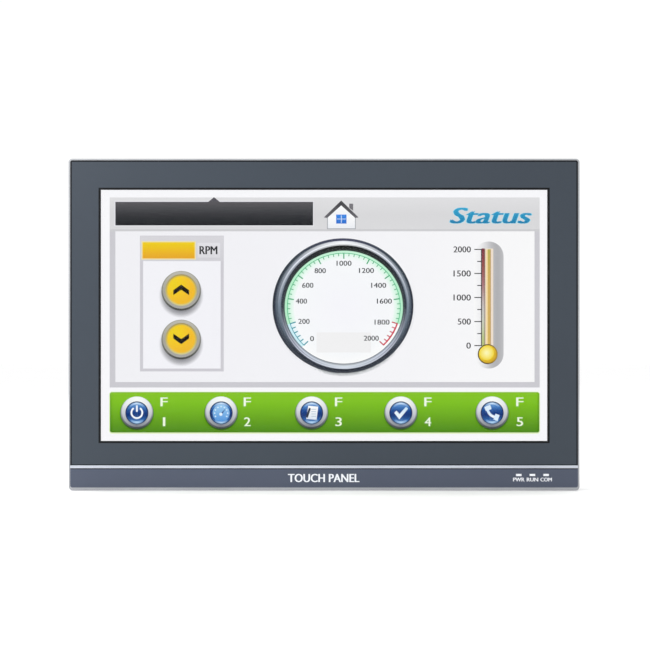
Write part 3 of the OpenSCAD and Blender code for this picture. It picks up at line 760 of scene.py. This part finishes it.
for low, high, colour in SCALE_COLOURS:
    thick = 0.9 if low == 1800 else 0.35
    dial_ring([SCALE_R - thick, SCALE_R + 0.25], flat(colour), 44, start=scale_angle(high),
              turn=scale_angle(low) - scale_angle(high), steps=max(8, (high - low) // 25))
for value in range(0, SCALE_END + 1, 40):
    major = value % 200 == 0
    colour = "#3a98a6" if value <= 200 else "#4fae7c" if value < 1800 else "#c93a50"
    length, half = (4.6, 0.45) if major else (2.4, 0.3) if 200 < value < 1800 else (3.2, 0.4)
    angle = scale_angle(value)
    turn = math.radians(angle)
    side = (-math.sin(turn) * half, math.cos(turn) * half)
    outer, inner = polar(SCALE_R, angle), polar(SCALE_R - length, angle)
    gauge.outline(
        [(inner[0] - side[0], inner[1] - side[1]), (outer[0] - side[0], outer[1] - side[1]),
         (outer[0] + side[0], outer[1] + side[1]), (inner[0] + side[0], inner[1] + side[1])],
        flat(colour), up=48,
    )
for step, (x, z) in enumerate(NUMBER_PLACES):
    number = str(step * 200)
    gauge.words(number, DIAL[0] + x, DIAL[1] + z, 3.9, flat("#34373d"), up=48,
                width=2.85 * len(number), bold=0.2)
gauge.publish("picture_gauge", lit_picture, "lcd_cell")

# ---- Picture: thermometer ----
# A tall glass tube on a plate that shades from white to grey. A stripe beside the tube runs from
# dark red down to green, and a yellow bulb closes the tube's lower end.

PLATE_X, PLATE_HALF = 127.0, 11.4
PLATE_TOP, PLATE_BOTTOM = 57.0, -41.0
TUBE_TOP, TUBE_FOOT = 51.4, -23.5
BULB = (126.2, -29.9)
SCALE_X = 121.7
thermometer = Sheet(window_middle, PICTURE_Y)
plate_shade = across(PLATE_X - PLATE_HALF, PLATE_X + PLATE_HALF,
                     "#fcfcfc", "#f3f3f5", "#dcdcde", "#bcbcbf", "#b0b0b3", "#c0c0c3")
cap_bottom, cap_top = PLATE_BOTTOM + PLATE_HALF, PLATE_TOP - PLATE_HALF
thermometer.box(PLATE_X - PLATE_HALF, cap_bottom, PLATE_X + PLATE_HALF, cap_top, plate_shade,
                up=18, steps=(10, 1))
for end, start in ((cap_top, 0), (cap_bottom, 180)):
    thermometer.ring(PLATE_X, end, [0, 3.8, 7.6, PLATE_HALF], plate_shade, up=18, start=start,
                     turn=180, steps=32)
TUBE_STRIPES = (
    (-0.7, 0, 0, 22, 1, "#4a4648"),
    (0, 2.0, 0.3, 22, 22, "#b4c07c", "#b9c58a", "#c4cbac", "#c8cbbe", "#c6c4c0", "#c0b4b2",
     "#b39694", "#a9767a", "#a06464", "#98544e", "#8c444a", "#7c3842"),
    (2.0, 2.6, 0, 24, 1, "#8f7a68"),
    (2.6, 8.8, 0.2, 22, 1, "#efe0cf"),
    (3.2, 4.5, -0.6, 26, 1, "#f8dfa8"),
    (4.5, 6.9, -0.4, 26, 6, "#d8b55e", "#d4b060", "#d6b162", "#d2ae5c", "#b9b258"),
    (6.3, 6.9, -1, 28, 1, "#c09c60"),
)
for left, right, rise, up, bands, *colours in TUBE_STRIPES:
    shade = upright(TUBE_FOOT, TUBE_TOP, *colours) if colours[1:] else flat(colours[0])
    thermometer.box(SCALE_X + left, TUBE_FOOT, SCALE_X + right, TUBE_TOP + rise, shade,
                    up=up, steps=(1, bands))
for value in range(0, SCALE_END + 1, 250):
    z = TUBE_FOOT + 0.2 + (TUBE_TOP - TUBE_FOOT - 0.7) * value / SCALE_END
    major = value % 500 == 0
    length, half = 5.8 if major else 3.6, 0.36
    thermometer.box(SCALE_X - length, z - half, SCALE_X, z + half, flat("#2c2c30"), up=30)
    if major:
        thermometer.words(str(value), SCALE_X - 8.6, z, 4.7, flat("#343438"), up=30,
                          width=3.3 * len(str(value)), bold=0.25, to_left=True)
shade = across(BULB[0] - 7, BULB[0] + 7, "#3d3420", "#5c4c28", "#a98d3a")
thermometer.ring(*BULB, [0, 7.7], shade, up=32)
yellow = [(4, "#f4d638"), (6.5, "#eac128"), (8.5, "#c99c22")]
thermometer.ring(*BULB, [0, 3.5, 6.9], from_middle(BULB[0] - 1.6, BULB[1] + 1.6, yellow), up=34)
shine = (BULB[0] - 0.8, BULB[1] + 1.0)
shade = from_middle(*shine, [(0, "#fffac0"), (2.6, "#fdf08c"), (5.6, "#f4d83a")])
thermometer.ring(*shine, [0, 2, 4, 5.6], shade, up=36)
thermometer.publish("picture_thermometer", lit_picture, "lcd_cell")

# ---- Picture: key bar ----
# A green bar along the foot of the page holds five round keys. Each has a silver rim, a blue
# face with a white sign, and a short name in two signs, one over the other, beside it.

BAR = (-165.2, -90.3, 166.0, -59.3)
KEY_Z = -75.2
KEY_XS = (-144.4, -79.4, -9.6, 59.2, 129.6)
NAME_XS = (-123.4, -59.2, 11.2, 80.1, 151.0)
bar = Sheet(window_middle, PICTURE_Y)
bar.box(BAR[0] - 0.6, BAR[1] - 0.9, BAR[2] + 0.6, BAR[3] + 0.5, flat("#dff2b8"), up=6, corner=2.2)
bar.box(*BAR,
        upright(BAR[1], BAR[3], "#3f7a10", "#5f9f12", "#6dac16", "#76b813", "#7abd14", "#74b016"),
        up=10, corner=1.6)
bar.box(*grown(BAR, -1.5, -0.5),
        upright(BAR[1], BAR[3], "#4b8810", "#5f9e10", "#70b114", "#7ec216", "#86c522"),
        up=12, steps=(1, 8))


def sign_shape(x, z, places, shade, up):
    """A flat shape whose corners are given from a sign's middle."""
    bar.outline([(x + a, z + b) for a, b in places], shade, up=up)


def power_sign(x, z):
    bar.ring(x, z, [3.5, 4.9], flat("#f4f8fd"), up=40, start=125, turn=290, steps=40)
    bar.box(x - 0.7, z + 0.6, x + 0.7, z + 5.6, flat("#f4f8fd"), up=42)


def meter_sign(x, z):
    bar.ring(x, z - 0.4, [0, 6.6], upright(z - 7, z + 7, "#4d93dc", "#9ed0f4"), up=38)
    for angle in range(-30, 211, 30):
        turn = math.radians(angle)
        dot = (x + 5.0 * math.cos(turn), z - 0.4 + 5.0 * math.sin(turn))
        bar.ring(*dot, [0, 0.6], flat("#d9eefc"), up=40, steps=12)
    sign_shape(x, z, [(-0.9, -1.2), (0.3, -1.9), (3.6, 3.4)], flat("#2a4a90"), 42)
    bar.ring(x - 0.2, z - 1.2, [0, 1.2], flat("#e9f5fe"), up=44, steps=16)


def notes_sign(x, z):
    paper = upright(z - 5, z + 5, "#dfe8f2", "#ffffff")
    sign_shape(x, z, [(-4.2, -4.9), (3.8, -5.5), (5.1, 4.6), (-2.6, 5.4)], paper, 40)
    pen = [(-4.6, -3.0), (-3.0, -4.2), (-0.6, 3.2), (-2.0, 3.8)]
    sign_shape(x, z, pen, flat("#2d3442"), 42)
    for row in (2.6, 0.8, -1.0, -2.8):
        bar.box(x - 0.2, z + row - 0.2, x + 3.4, z + row + 0.2, flat("#9fb4cc"), up=42)


def tick_sign(x, z):
    short_arm = [(-5.2, -0.2), (-3.4, 1.6), (-1.0, -1.0), (-1.2, -5.2)]
    sign_shape(x, z, short_arm, flat("#eaf6fe"), 40)
    long_arm = [(-1.2, -5.2), (-1.0, -1.0), (4.0, 4.6), (5.6, 3.0)]
    sign_shape(x, z, long_arm, upright(z - 5, z + 5, "#ffffff", "#bfe2fa"), 40)


def handset_sign(x, z):
    grip = upright(z - 5, z + 5, "#ffffff", "#a8d4f8")
    bar.ring(x + 3.4, z + 3.6, [6.0, 8.0], grip, up=40, start=188, turn=74, steps=20)
    for at, lean in (((-3.2, 3.6), 20), ((3.4, -3.6), 70)):
        turn = math.radians(lean)
        along = (2.4 * math.cos(turn), 2.4 * math.sin(turn))
        over = (-1.7 * math.sin(turn), 1.7 * math.cos(turn))
        corners = [(at[0] + a * along[0] + b * over[0], at[1] + a * along[1] + b * over[1])
                   for a, b in ((-1, -1), (1, -1), (1, 1), (-1, 1))]
        sign_shape(x, z, corners, flat("#dff0fd"), 42)


SIGNS = (power_sign, meter_sign, notes_sign, tick_sign, handset_sign)
low, high = KEY_Z - 12.5, KEY_Z + 12.5
silver_rim = upright(low, high, "#33373c", "#7b7f85", "#b9bcc0", "#eef0f2")
dark_ring = upright(low, high, "#4a6c92", "#16305c", "#0f1f48", "#2c4a6e")
blue_face = upright(KEY_Z - 9, KEY_Z + 9,
                    "#7fb4e2", "#2860a8", "#0b2f72", "#184790", "#4684ca", "#8fc0ec")
name_ink = flat("#f2fae6")
for number, (key_x, name_x, sign) in enumerate(zip(KEY_XS, NAME_XS, SIGNS), 1):
    shadow_z = KEY_Z - 0.8
    shadow = from_middle(key_x, shadow_z, [(10, "#24460a"), (12.2, "#2f5a0a"), (13.4, "#5c9a12")])
    bar.ring(key_x, shadow_z, [0, 10, 12.2, 13.4], shadow, up=14)
    bar.ring(key_x, KEY_Z + 0.2, [0, 12.5], silver_rim, up=20)
    shine = by_angle((key_x, KEY_Z), "#fbfffb", "#eef1f2", "#cbced6", "#9da1a7", "#7c8086")
    bar.ring(key_x, KEY_Z + 0.8, [8, 10.2, 11.6], shine, up=24)
    bar.ring(key_x, KEY_Z, [0, 8.9], dark_ring, up=28)
    bar.ring(key_x, KEY_Z, [0, 3.5, 6.5, 8.1], blue_face, up=32)
    foot_light = from_middle(key_x, KEY_Z - 7.4, [(0, "#b9dcf8"), (5.5, "#3d78bc")])
    bar.ring(key_x, KEY_Z - 0.2, [6.3, 7.1, 7.9], foot_light, up=34, start=228, turn=84, steps=24)
    head_light = from_middle(key_x, KEY_Z + 7.4, [(0, "#cfe6fa"), (6.5, "#4684c8")])
    bar.ring(key_x, KEY_Z, [6.6, 7.3, 8.0], head_light, up=34, start=42, turn=96, steps=24)
    sign(key_x, KEY_Z + 0.2)
    bar.words("F", name_x, KEY_Z + 8.5, 6.8, name_ink, up=20, width=5.4, bold=0.3)
    bar.words(str(number), name_x, KEY_Z - 6.8, 6.8, name_ink, up=20,
              width=1.6 if number == 1 else 4.8, bold=0.3)
bar.publish("picture_key_bar", lit_picture, "lcd_cell")

# ---- Chassis, boards and ribbons ----
# Behind the screen, a zinc-plated plate sits on the bezel's posts and carries the main board on
# six brass standoffs. All of it is closed in, and only the vents give a glimpse of it.

zinc_plate = finish(
    "zinc_plate", "#8f9394", "#a5a8a7", 0.4, metallic=0.85, patch=30, grain=500, uneven=0.1,
)
coat_node("chassis_plate", zinc_plate)
screw_steel = finish(
    "plated_screw", "#9c9ea0", "#b4b6b8", 0.3, metallic=0.9, patch=200, grain=1200, relief=0.003,
)
for node in ("chassis_screws", "board_screws"):
    coat_node(node, screw_steel)
turned_brass = finish("turned_brass", "#b0883e", "#c29a4c", 0.3, metallic=0.9, patch=120, grain=900,
                      stretch=(1, 6, 1), relief=0.004)
for node in ("board_standoffs", "cover_posts"):
    coat_node(node, turned_brass)
solder_mask = finish(
    "green_solder_mask", "#0c3f22", "#115030", 0.3, patch=90, grain=1200, relief=0.02, coat=0.3,
)
for node in ("main_board", "indicator_board"):
    coat_node(node, solder_mask)
chip_plastic = finish(
    "chip_plastic", "#141517", "#1d1e20", 0.55, patch=200, grain=2600, relief=0.02,
)
coat_node("board_chips", chip_plastic)
dark_anodised = finish(
    "dark_anodised", "#33363a", "#3f4246", 0.45, metallic=0.7, patch=60, grain=1200,
)
soften("heat_sink", dark_anodised, 0.15, segments=1)
sleeve_plastic = finish(
    "sleeve_plastic", "#1c2433", "#232c3d", 0.35, patch=90, grain=1200, coat=0.3,
)
soften("board_power_parts", sleeve_plastic, 0.4)
ribbon_pale = finish(
    "pale_ribbon", "#aab4c2", "#bcc5d1", 0.5, patch=40, grain=1500, stretch=(0.05, 0.05, 1),
)
coat_node("display_ribbon", ribbon_pale)

# ---- Rear housing ----
# A moulded cover in dark textured plastic with round outer corners. It steps back below the
# ports, and slots in its back and top let the warm air out.

cover_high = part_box("rear_cover")[1]
housing_plastic = finish(
    "housing_plastic", "#2a2c2f", "#303235", 0.62, patch=8, grain=1100, relief=0.09, uneven=0.08,
)
outer_back = cover_high.y
HOUSING_CORNER = 4.2
PLUG_HANGS = 12.3


def at_back_rim(edge):
    """True on the outline of the housing's back."""
    ends = [v.co for v in edge.verts]
    if any(abs(c.y - outer_back) > 0.05 * MM for c in ends):
        return False
    near = HOUSING_CORNER * MM
    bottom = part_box("power_plug")[0].z + PLUG_HANGS * MM
    side, top = cover_high.x - near, cover_high.z - near
    return all(abs(c.x) > side or c.z > top or c.z < bottom + near for c in ends)


cover = merged("rear_cover")
round_edges(cover, 1.2, segments=4, where=at_back_rim)
round_edges(cover, 0.25, segments=2, sharpest=50)
publish(cover, "rear_cover_finished", housing_plastic, "rear_cover", replaces=True)
soften("cover_screws", screw_steel, 0.12, segments=1, sharpest=50)

# ---- Type plate ----
# A blank satin plate with a thin printed border, glued to the middle of the housing's back.

plate_foil = finish(
    "satin_foil", "#7f8286", "#8b8e92", 0.42, metallic=0.3, patch=20, grain=1500,
    stretch=(0.05, 1, 1),
)
PLATE_SIZE = (86, 46)
PLATE_MIDDLE = (40, -24)
PLATE_T, PLATE_CORNER = 0.2, 2

plate_bm = bmesh.new()
bmesh.ops.create_cube(plate_bm, size=1)
plate_size = (PLATE_SIZE[0] * MM, PLATE_T * MM, PLATE_SIZE[1] * MM)
bmesh.ops.scale(plate_bm, verts=plate_bm.verts, vec=plate_size)
plate_at = (PLATE_MIDDLE[0] * MM, outer_back + PLATE_T / 2 * MM, PLATE_MIDDLE[1] * MM)
bmesh.ops.translate(plate_bm, verts=plate_bm.verts, vec=plate_at)
corners = [e for e in plate_bm.edges if abs(e.verts[0].co.y - e.verts[1].co.y) > 0.01 * MM]
bevel(plate_bm, corners, PLATE_CORNER, 5)
publish(plate_bm, "type_plate", plate_foil, "rear_cover")
PLATE_INK = flat("#2c2f33")
PLATE_BORDER, BORDER_LINE, RULE_HALF = 2.5, 0.4, 0.15
plate_lines = Sheet(
    (PLATE_MIDDLE[0] * MM, PLATE_MIDDLE[1] * MM), outer_back + (PLATE_T + 0.02) * MM,
)
half_w, half_h = PLATE_SIZE[0] / 2 - PLATE_BORDER, PLATE_SIZE[1] / 2 - PLATE_BORDER
rule_w, rule_h = half_w - BORDER_LINE, half_h - BORDER_LINE
plate_lines.frame(-half_w, -half_h, half_w, half_h, BORDER_LINE, PLATE_INK)
PLATE_ROWS, PLATE_COLUMN = (-9, 0, 9), -12
for row in PLATE_ROWS:
    plate_lines.box(-rule_w, row - RULE_HALF, rule_w, row + RULE_HALF, PLATE_INK)
plate_lines.box(PLATE_COLUMN - RULE_HALF, -rule_h, PLATE_COLUMN + RULE_HALF,
                PLATE_ROWS[-1] - RULE_HALF, PLATE_INK, up=-1)
plate_lines.publish("type_plate_lines", print_and_painted_shade_ink, "rear_cover", facing=1)

# ---- Ports ----
# The ports stand on the main board and look out of the housing's lower wall: a network socket,
# two USB sockets and two nine-way serial ports, each in a thin plated shell.

port_shell = finish(
    "plated_shell", "#b9bbbd", "#cccecf", 0.3, metallic=0.75, patch=90, grain=900, relief=0.002,
)
port_plastic = finish("port_plastic", "#17181c", "#1e1f23", 0.5, patch=150, grain=1500, relief=0.01)
contact_gold = finish(
    "contact_gold", "#cfa54c", "#e0b85f", 0.3, metallic=0.85, patch=300, grain=900, relief=0.002,
)


def within(node, side, depth):
    """True for places further than two borders, across and in depth, from a node's sides."""
    low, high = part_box(node)
    return lambda c: (low.x + side * MM < c.x < high.x - side * MM
                      and low.y + depth * MM < c.y < high.y - depth * MM)


for node, border in (("ethernet_port", 1.0), ("usb_host_port", 0.45), ("usb_device_port", 1.0)):
    soften(node, port_shell, 0.12, lining=port_plastic, inside=within(node, border, border))
for node in ("serial_port_female", "serial_port_male"):
    soften(node, port_shell, 0.12, segments=1, sharpest=50, lining=port_plastic,
           inside=within(node, 9, 3.5))


def bars(name, material, node, box, places, size, sunk):
    """Upright bars in a port. They are placed across from its middle and in depth from its front,
    and their lower ends are sunk into it."""
    low, high = box
    middle = (low.x + high.x) / 2
    bm = bmesh.new()
    for x, y in places:
        old = set(bm.verts)
        bmesh.ops.create_cube(bm, size=1)
        new = [v for v in bm.verts if v not in old]
        bmesh.ops.scale(bm, verts=new, vec=[s * MM for s in size])
        place = (middle + x * MM, low.y + y * MM, low.z + (sunk + size[2] / 2) * MM)
        bmesh.ops.translate(bm, verts=new, vec=place)
    round_edges(bm, min(size) * 0.2, segments=1)
    return publish(bm, name, material, node)


net_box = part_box("ethernet_port")
bars("ethernet_contacts", contact_gold, "ethernet_port", net_box,
     [((i - 3.5) * 1.02, 3.4) for i in range(8)], (0.45, 0.35, 10.6), 1.3)
usb_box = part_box("usb_host_port")
bars("usb_host_tongue", port_plastic, "usb_host_port", usb_box, [(0, 4.0)], (11.3, 1.9, 8.4), 0.7)
bars("usb_host_contacts", contact_gold, "usb_host_port", usb_box,
     [((i - 1.5) * 2.4, 3.0) for i in range(4)], (1.1, 0.16, 6.6), 1.6)
square_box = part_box("usb_device_port")
bars("usb_device_tongue", port_plastic, "usb_device_port", square_box,
     [(0, 5.4)], (5.7, 3.3, 8.3), 0.9)
bars("usb_device_contacts", contact_gold, "usb_device_port", square_box,
     [(i * 1.25, j) for i in (-1, 1) for j in (3.66, 7.14)], (1.0, 0.16, 6.4), 1.8)

PIN_STEP, ROW_STEP = 2.77, 1.42
SERIAL_PORT_H, SLEEVE_HOLE_DEPTH = 16, 1.5
female_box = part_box("serial_port_female")
male_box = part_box("serial_port_male")
shell_mouth = male_box[1].z - SERIAL_PORT_H * MM


def nine_spots(box):
    """Where the nine contacts of a serial port stand: five in one row and four in the other."""
    low, high = box
    x, y = (low.x + high.x) / 2, (low.y + high.y) / 2
    five = [(x + i * PIN_STEP * MM, y + ROW_STEP * MM) for i in (-2, -1, 0, 1, 2)]
    four = [(x + i * PIN_STEP * MM, y - ROW_STEP * MM) for i in (-1.5, -0.5, 0.5, 1.5)]
    return five + four


def pins(name, node, box, radius, tip_in, root_in, hollow=0.0):
    """Round contacts with domed tips that point down, or sleeves with a hole in their ends. They
    reach from tip_in to root_in, in millimetres up from the shell's mouth."""
    low, high = shell_mouth + tip_in * MM, shell_mouth + root_in * MM
    bm = bmesh.new()
    for x, y in nine_spots(box):
        tip = bmesh.ops.create_circle(bm, cap_ends=True, segments=16, radius=radius * MM,
                                      matrix=Matrix.Translation((x, y, low)))["verts"]
        face = tip[0].link_faces[0]
        risen = bmesh.ops.extrude_face_region(bm, geom=[face])["geom"]
        top = [v for v in risen if isinstance(v, bmesh.types.BMVert)]
        bmesh.ops.translate(bm, verts=top, vec=(0, 0, high - low))
    bmesh.ops.recalc_face_normals(bm, faces=bm.faces)
    if hollow:
        mouths = [f for f in bm.faces if f.normal.z < -0.9]
        wall = (radius - hollow) * MM
        rims = bmesh.ops.inset_individual(bm, faces=mouths, thickness=wall)["faces"]
        inner = [f for f in bm.faces if f.normal.z < -0.9 and f not in rims]
        deep = bmesh.ops.extrude_discrete_faces(bm, faces=inner)["faces"]
        floor = [v for f in deep for v in f.verts]
        bmesh.ops.translate(bm, verts=floor, vec=(0, 0, SLEEVE_HOLE_DEPTH * MM))
    else:
        tips = [e for e in bm.edges if all(abs(v.co.z - low) < 0.001 * MM for v in e.verts)]
        bevel(bm, tips, radius * 0.6, 3)
    return publish(bm, name, contact_gold, node)


pins("serial_male_pins", "serial_port_male", male_box, 0.52, 0.7, 6)
pins("serial_female_sleeves", "serial_port_female", female_box, 0.62, 0.35, 3, hollow=0.4)

# ---- Power terminal ----
# A green pin socket on the board and the green plug that it takes. The plug has a way for each
# of three wires, and a slotted screw over each way.

terminal_green = finish(
    "terminal_green", "#1d6b3c", "#237a46", 0.45, patch=60, grain=1300, relief=0.03,
)
soften("power_socket", terminal_green, 0.2)
soften("power_plug", terminal_green, 0.25)
for number in (1, 2, 3):
    soften(f"plug_screw_{number}", screw_steel, 0.1, segments=1)

# ---- Setting switch ----
# A small red block with two white levers, which sets how the panel starts. The levers reach
# through the housing's lower wall.

switch_red = finish("switch_red", "#8f1a17", "#a1211d", 0.45, patch=120, grain=1500, relief=0.02)
lever_white = finish("lever_white", "#e6e6e2", "#f0f0ec", 0.4, patch=200, grain=1500, relief=0.02)
soften("dip_switch", switch_red, 0.15)
for number in (1, 2):
    soften(f"dip_lever_{number}", lever_white, 0.12)

# ---- Battery compartment ----
# A coin cell keeps the clock going. It lies in a pale tray behind a ribbed door, which slides
# down out of two grooves.

tray_plastic = finish("tray_plastic", "#c6c0ab", "#d2ccb8", 0.5, patch=60, grain=1200)
soften("battery_tray", tray_plastic, 0.2)
cell_steel = finish("cell_steel", "#b3b5b7", "#c6c8ca", 0.25, metallic=0.95, patch=150, grain=1800)
soften("coin_cell", cell_steel, 0.25, segments=3)
soften("battery_door", housing_plastic, 0.15)

# ---- Mounting clamps ----
# Six zinc clamps hook into keyholes round the housing. A slotted screw in each presses a black
# foot on the back of the cabinet's sheet.

clamp_zinc = finish(
    "die_cast_zinc", "#7d7f82", "#909295", 0.45, metallic=0.75, patch=60, grain=600, relief=0.03,
    uneven=0.1,
)
foot_plastic = finish("foot_plastic", "#151618", "#1d1e20", 0.6, patch=150, grain=1300, relief=0.04)
THREAD_PITCH = 0.7
CORE_R, CREST_R = 1.62, 1.95
HEAD_R = 3.2
SLOT_W, SLOT_DEPTH = 0.9, 1.4


def turned(bm, middle, points, steps, turns=1, rise=0.0):
    """Turns (radius, y) points round an axis along Y through a middle. One turn with no rise gives
    a closed body, and more turns that rise at each step give a thread."""
    line = [bm.verts.new((middle[0] + r * MM, y * MM, middle[1])) for r, y in points]
    edges = [bm.edges.new(pair) for pair in zip(line, line[1:])]
    bmesh.ops.spin(
        bm, geom=line + edges, cent=(middle[0], 0, middle[1]), axis=(0, 1, 0),
        dvec=(0, rise * MM, 0), angle=math.tau * turns, steps=steps, use_merge=not rise,
    )


def clamp_screw(number):
    """One screw: tip, core with its thread wound on, and a head with a slot."""
    node = f"clamp_screw_{number}"
    low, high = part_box(node)
    middle = ((low.x + high.x) / 2, (low.z + high.z) / 2)
    front, back = low.y / MM, high.y / MM
    thread_from, head_from, slot_floor = front + 1.5, back - 3, back - SLOT_DEPTH
    bm = bmesh.new()
    turned(bm, middle, [
        (0, front), (1.2, front), (1.5, front + 0.3), (1.5, front + 1.35), (CREST_R, thread_from),
        (CREST_R, front + 2.0), (CORE_R, front + 2.3), (CORE_R, head_from - 0.9),
        (CREST_R, head_from - 0.6), (CREST_R, head_from), (HEAD_R - 0.4, head_from),
        (HEAD_R, head_from + 0.4), (HEAD_R, slot_floor), (0, slot_floor),
    ], steps=40)
    turns = (head_from - 0.7 - thread_from) / THREAD_PITCH
    steps = round(turns * 20)
    ridge = [(CORE_R - 0.02, 0), (CREST_R, 0.42), (CREST_R, 0.58), (CORE_R - 0.02, 1)]
    ridge = [(r, thread_from + THREAD_PITCH * share) for r, share in ridge]
    turned(bm, middle, ridge, steps, turns, rise=THREAD_PITCH * turns / steps)
    for side in (-1, 1):
        def at(y, places):
            """True for places that are all at one y, on this side of the slot."""
            return all(
                abs(c.y - y * MM) < 0.001 * MM and (c.z - middle[1]) * side > 0 for c in places
            )

        disc = bmesh.ops.create_circle(
            bm, cap_ends=True, segments=48, radius=HEAD_R * MM,
            matrix=Matrix.Translation((middle[0], slot_floor * MM, middle[1])) @ FACING,
        )["verts"]
        edges = {e for v in disc for e in v.link_edges}
        faces = {f for v in disc for f in v.link_faces}
        bmesh.ops.bisect_plane(
            bm, geom=disc + list(edges) + list(faces),
            plane_co=(middle[0], 0, middle[1] + side * SLOT_W / 2 * MM), plane_no=(0, 0, -side),
            clear_outer=True, dist=0.0001 * MM,
        )
        floor = [f for f in bm.faces if at(slot_floor, [f.calc_center_median()])]
        half = [f for f in floor if len(f.verts) > 8]
        risen = bmesh.ops.extrude_face_region(bm, geom=half)["geom"]
        top = [v for v in risen if isinstance(v, bmesh.types.BMVert)]
        bmesh.ops.translate(bm, verts=top, vec=(0, SLOT_DEPTH * MM, 0))
        bevel(bm, [e for e in bm.edges if at(back, [v.co for v in e.verts])], 0.25, 2)
    bmesh.ops.remove_doubles(bm, verts=bm.verts, dist=0.001 * MM)
    bmesh.ops.recalc_face_normals(bm, faces=bm.faces)
    publish(bm, f"{node}_finished", screw_steel, node, replaces=True, smooth=30)


for number in range(1, 7):
    soften(f"clamp_bracket_{number}", clamp_zinc, 0.35, segments=3)
    soften(f"clamp_pad_{number}", foot_plastic, 0.3, segments=3)
    clamp_screw(number)
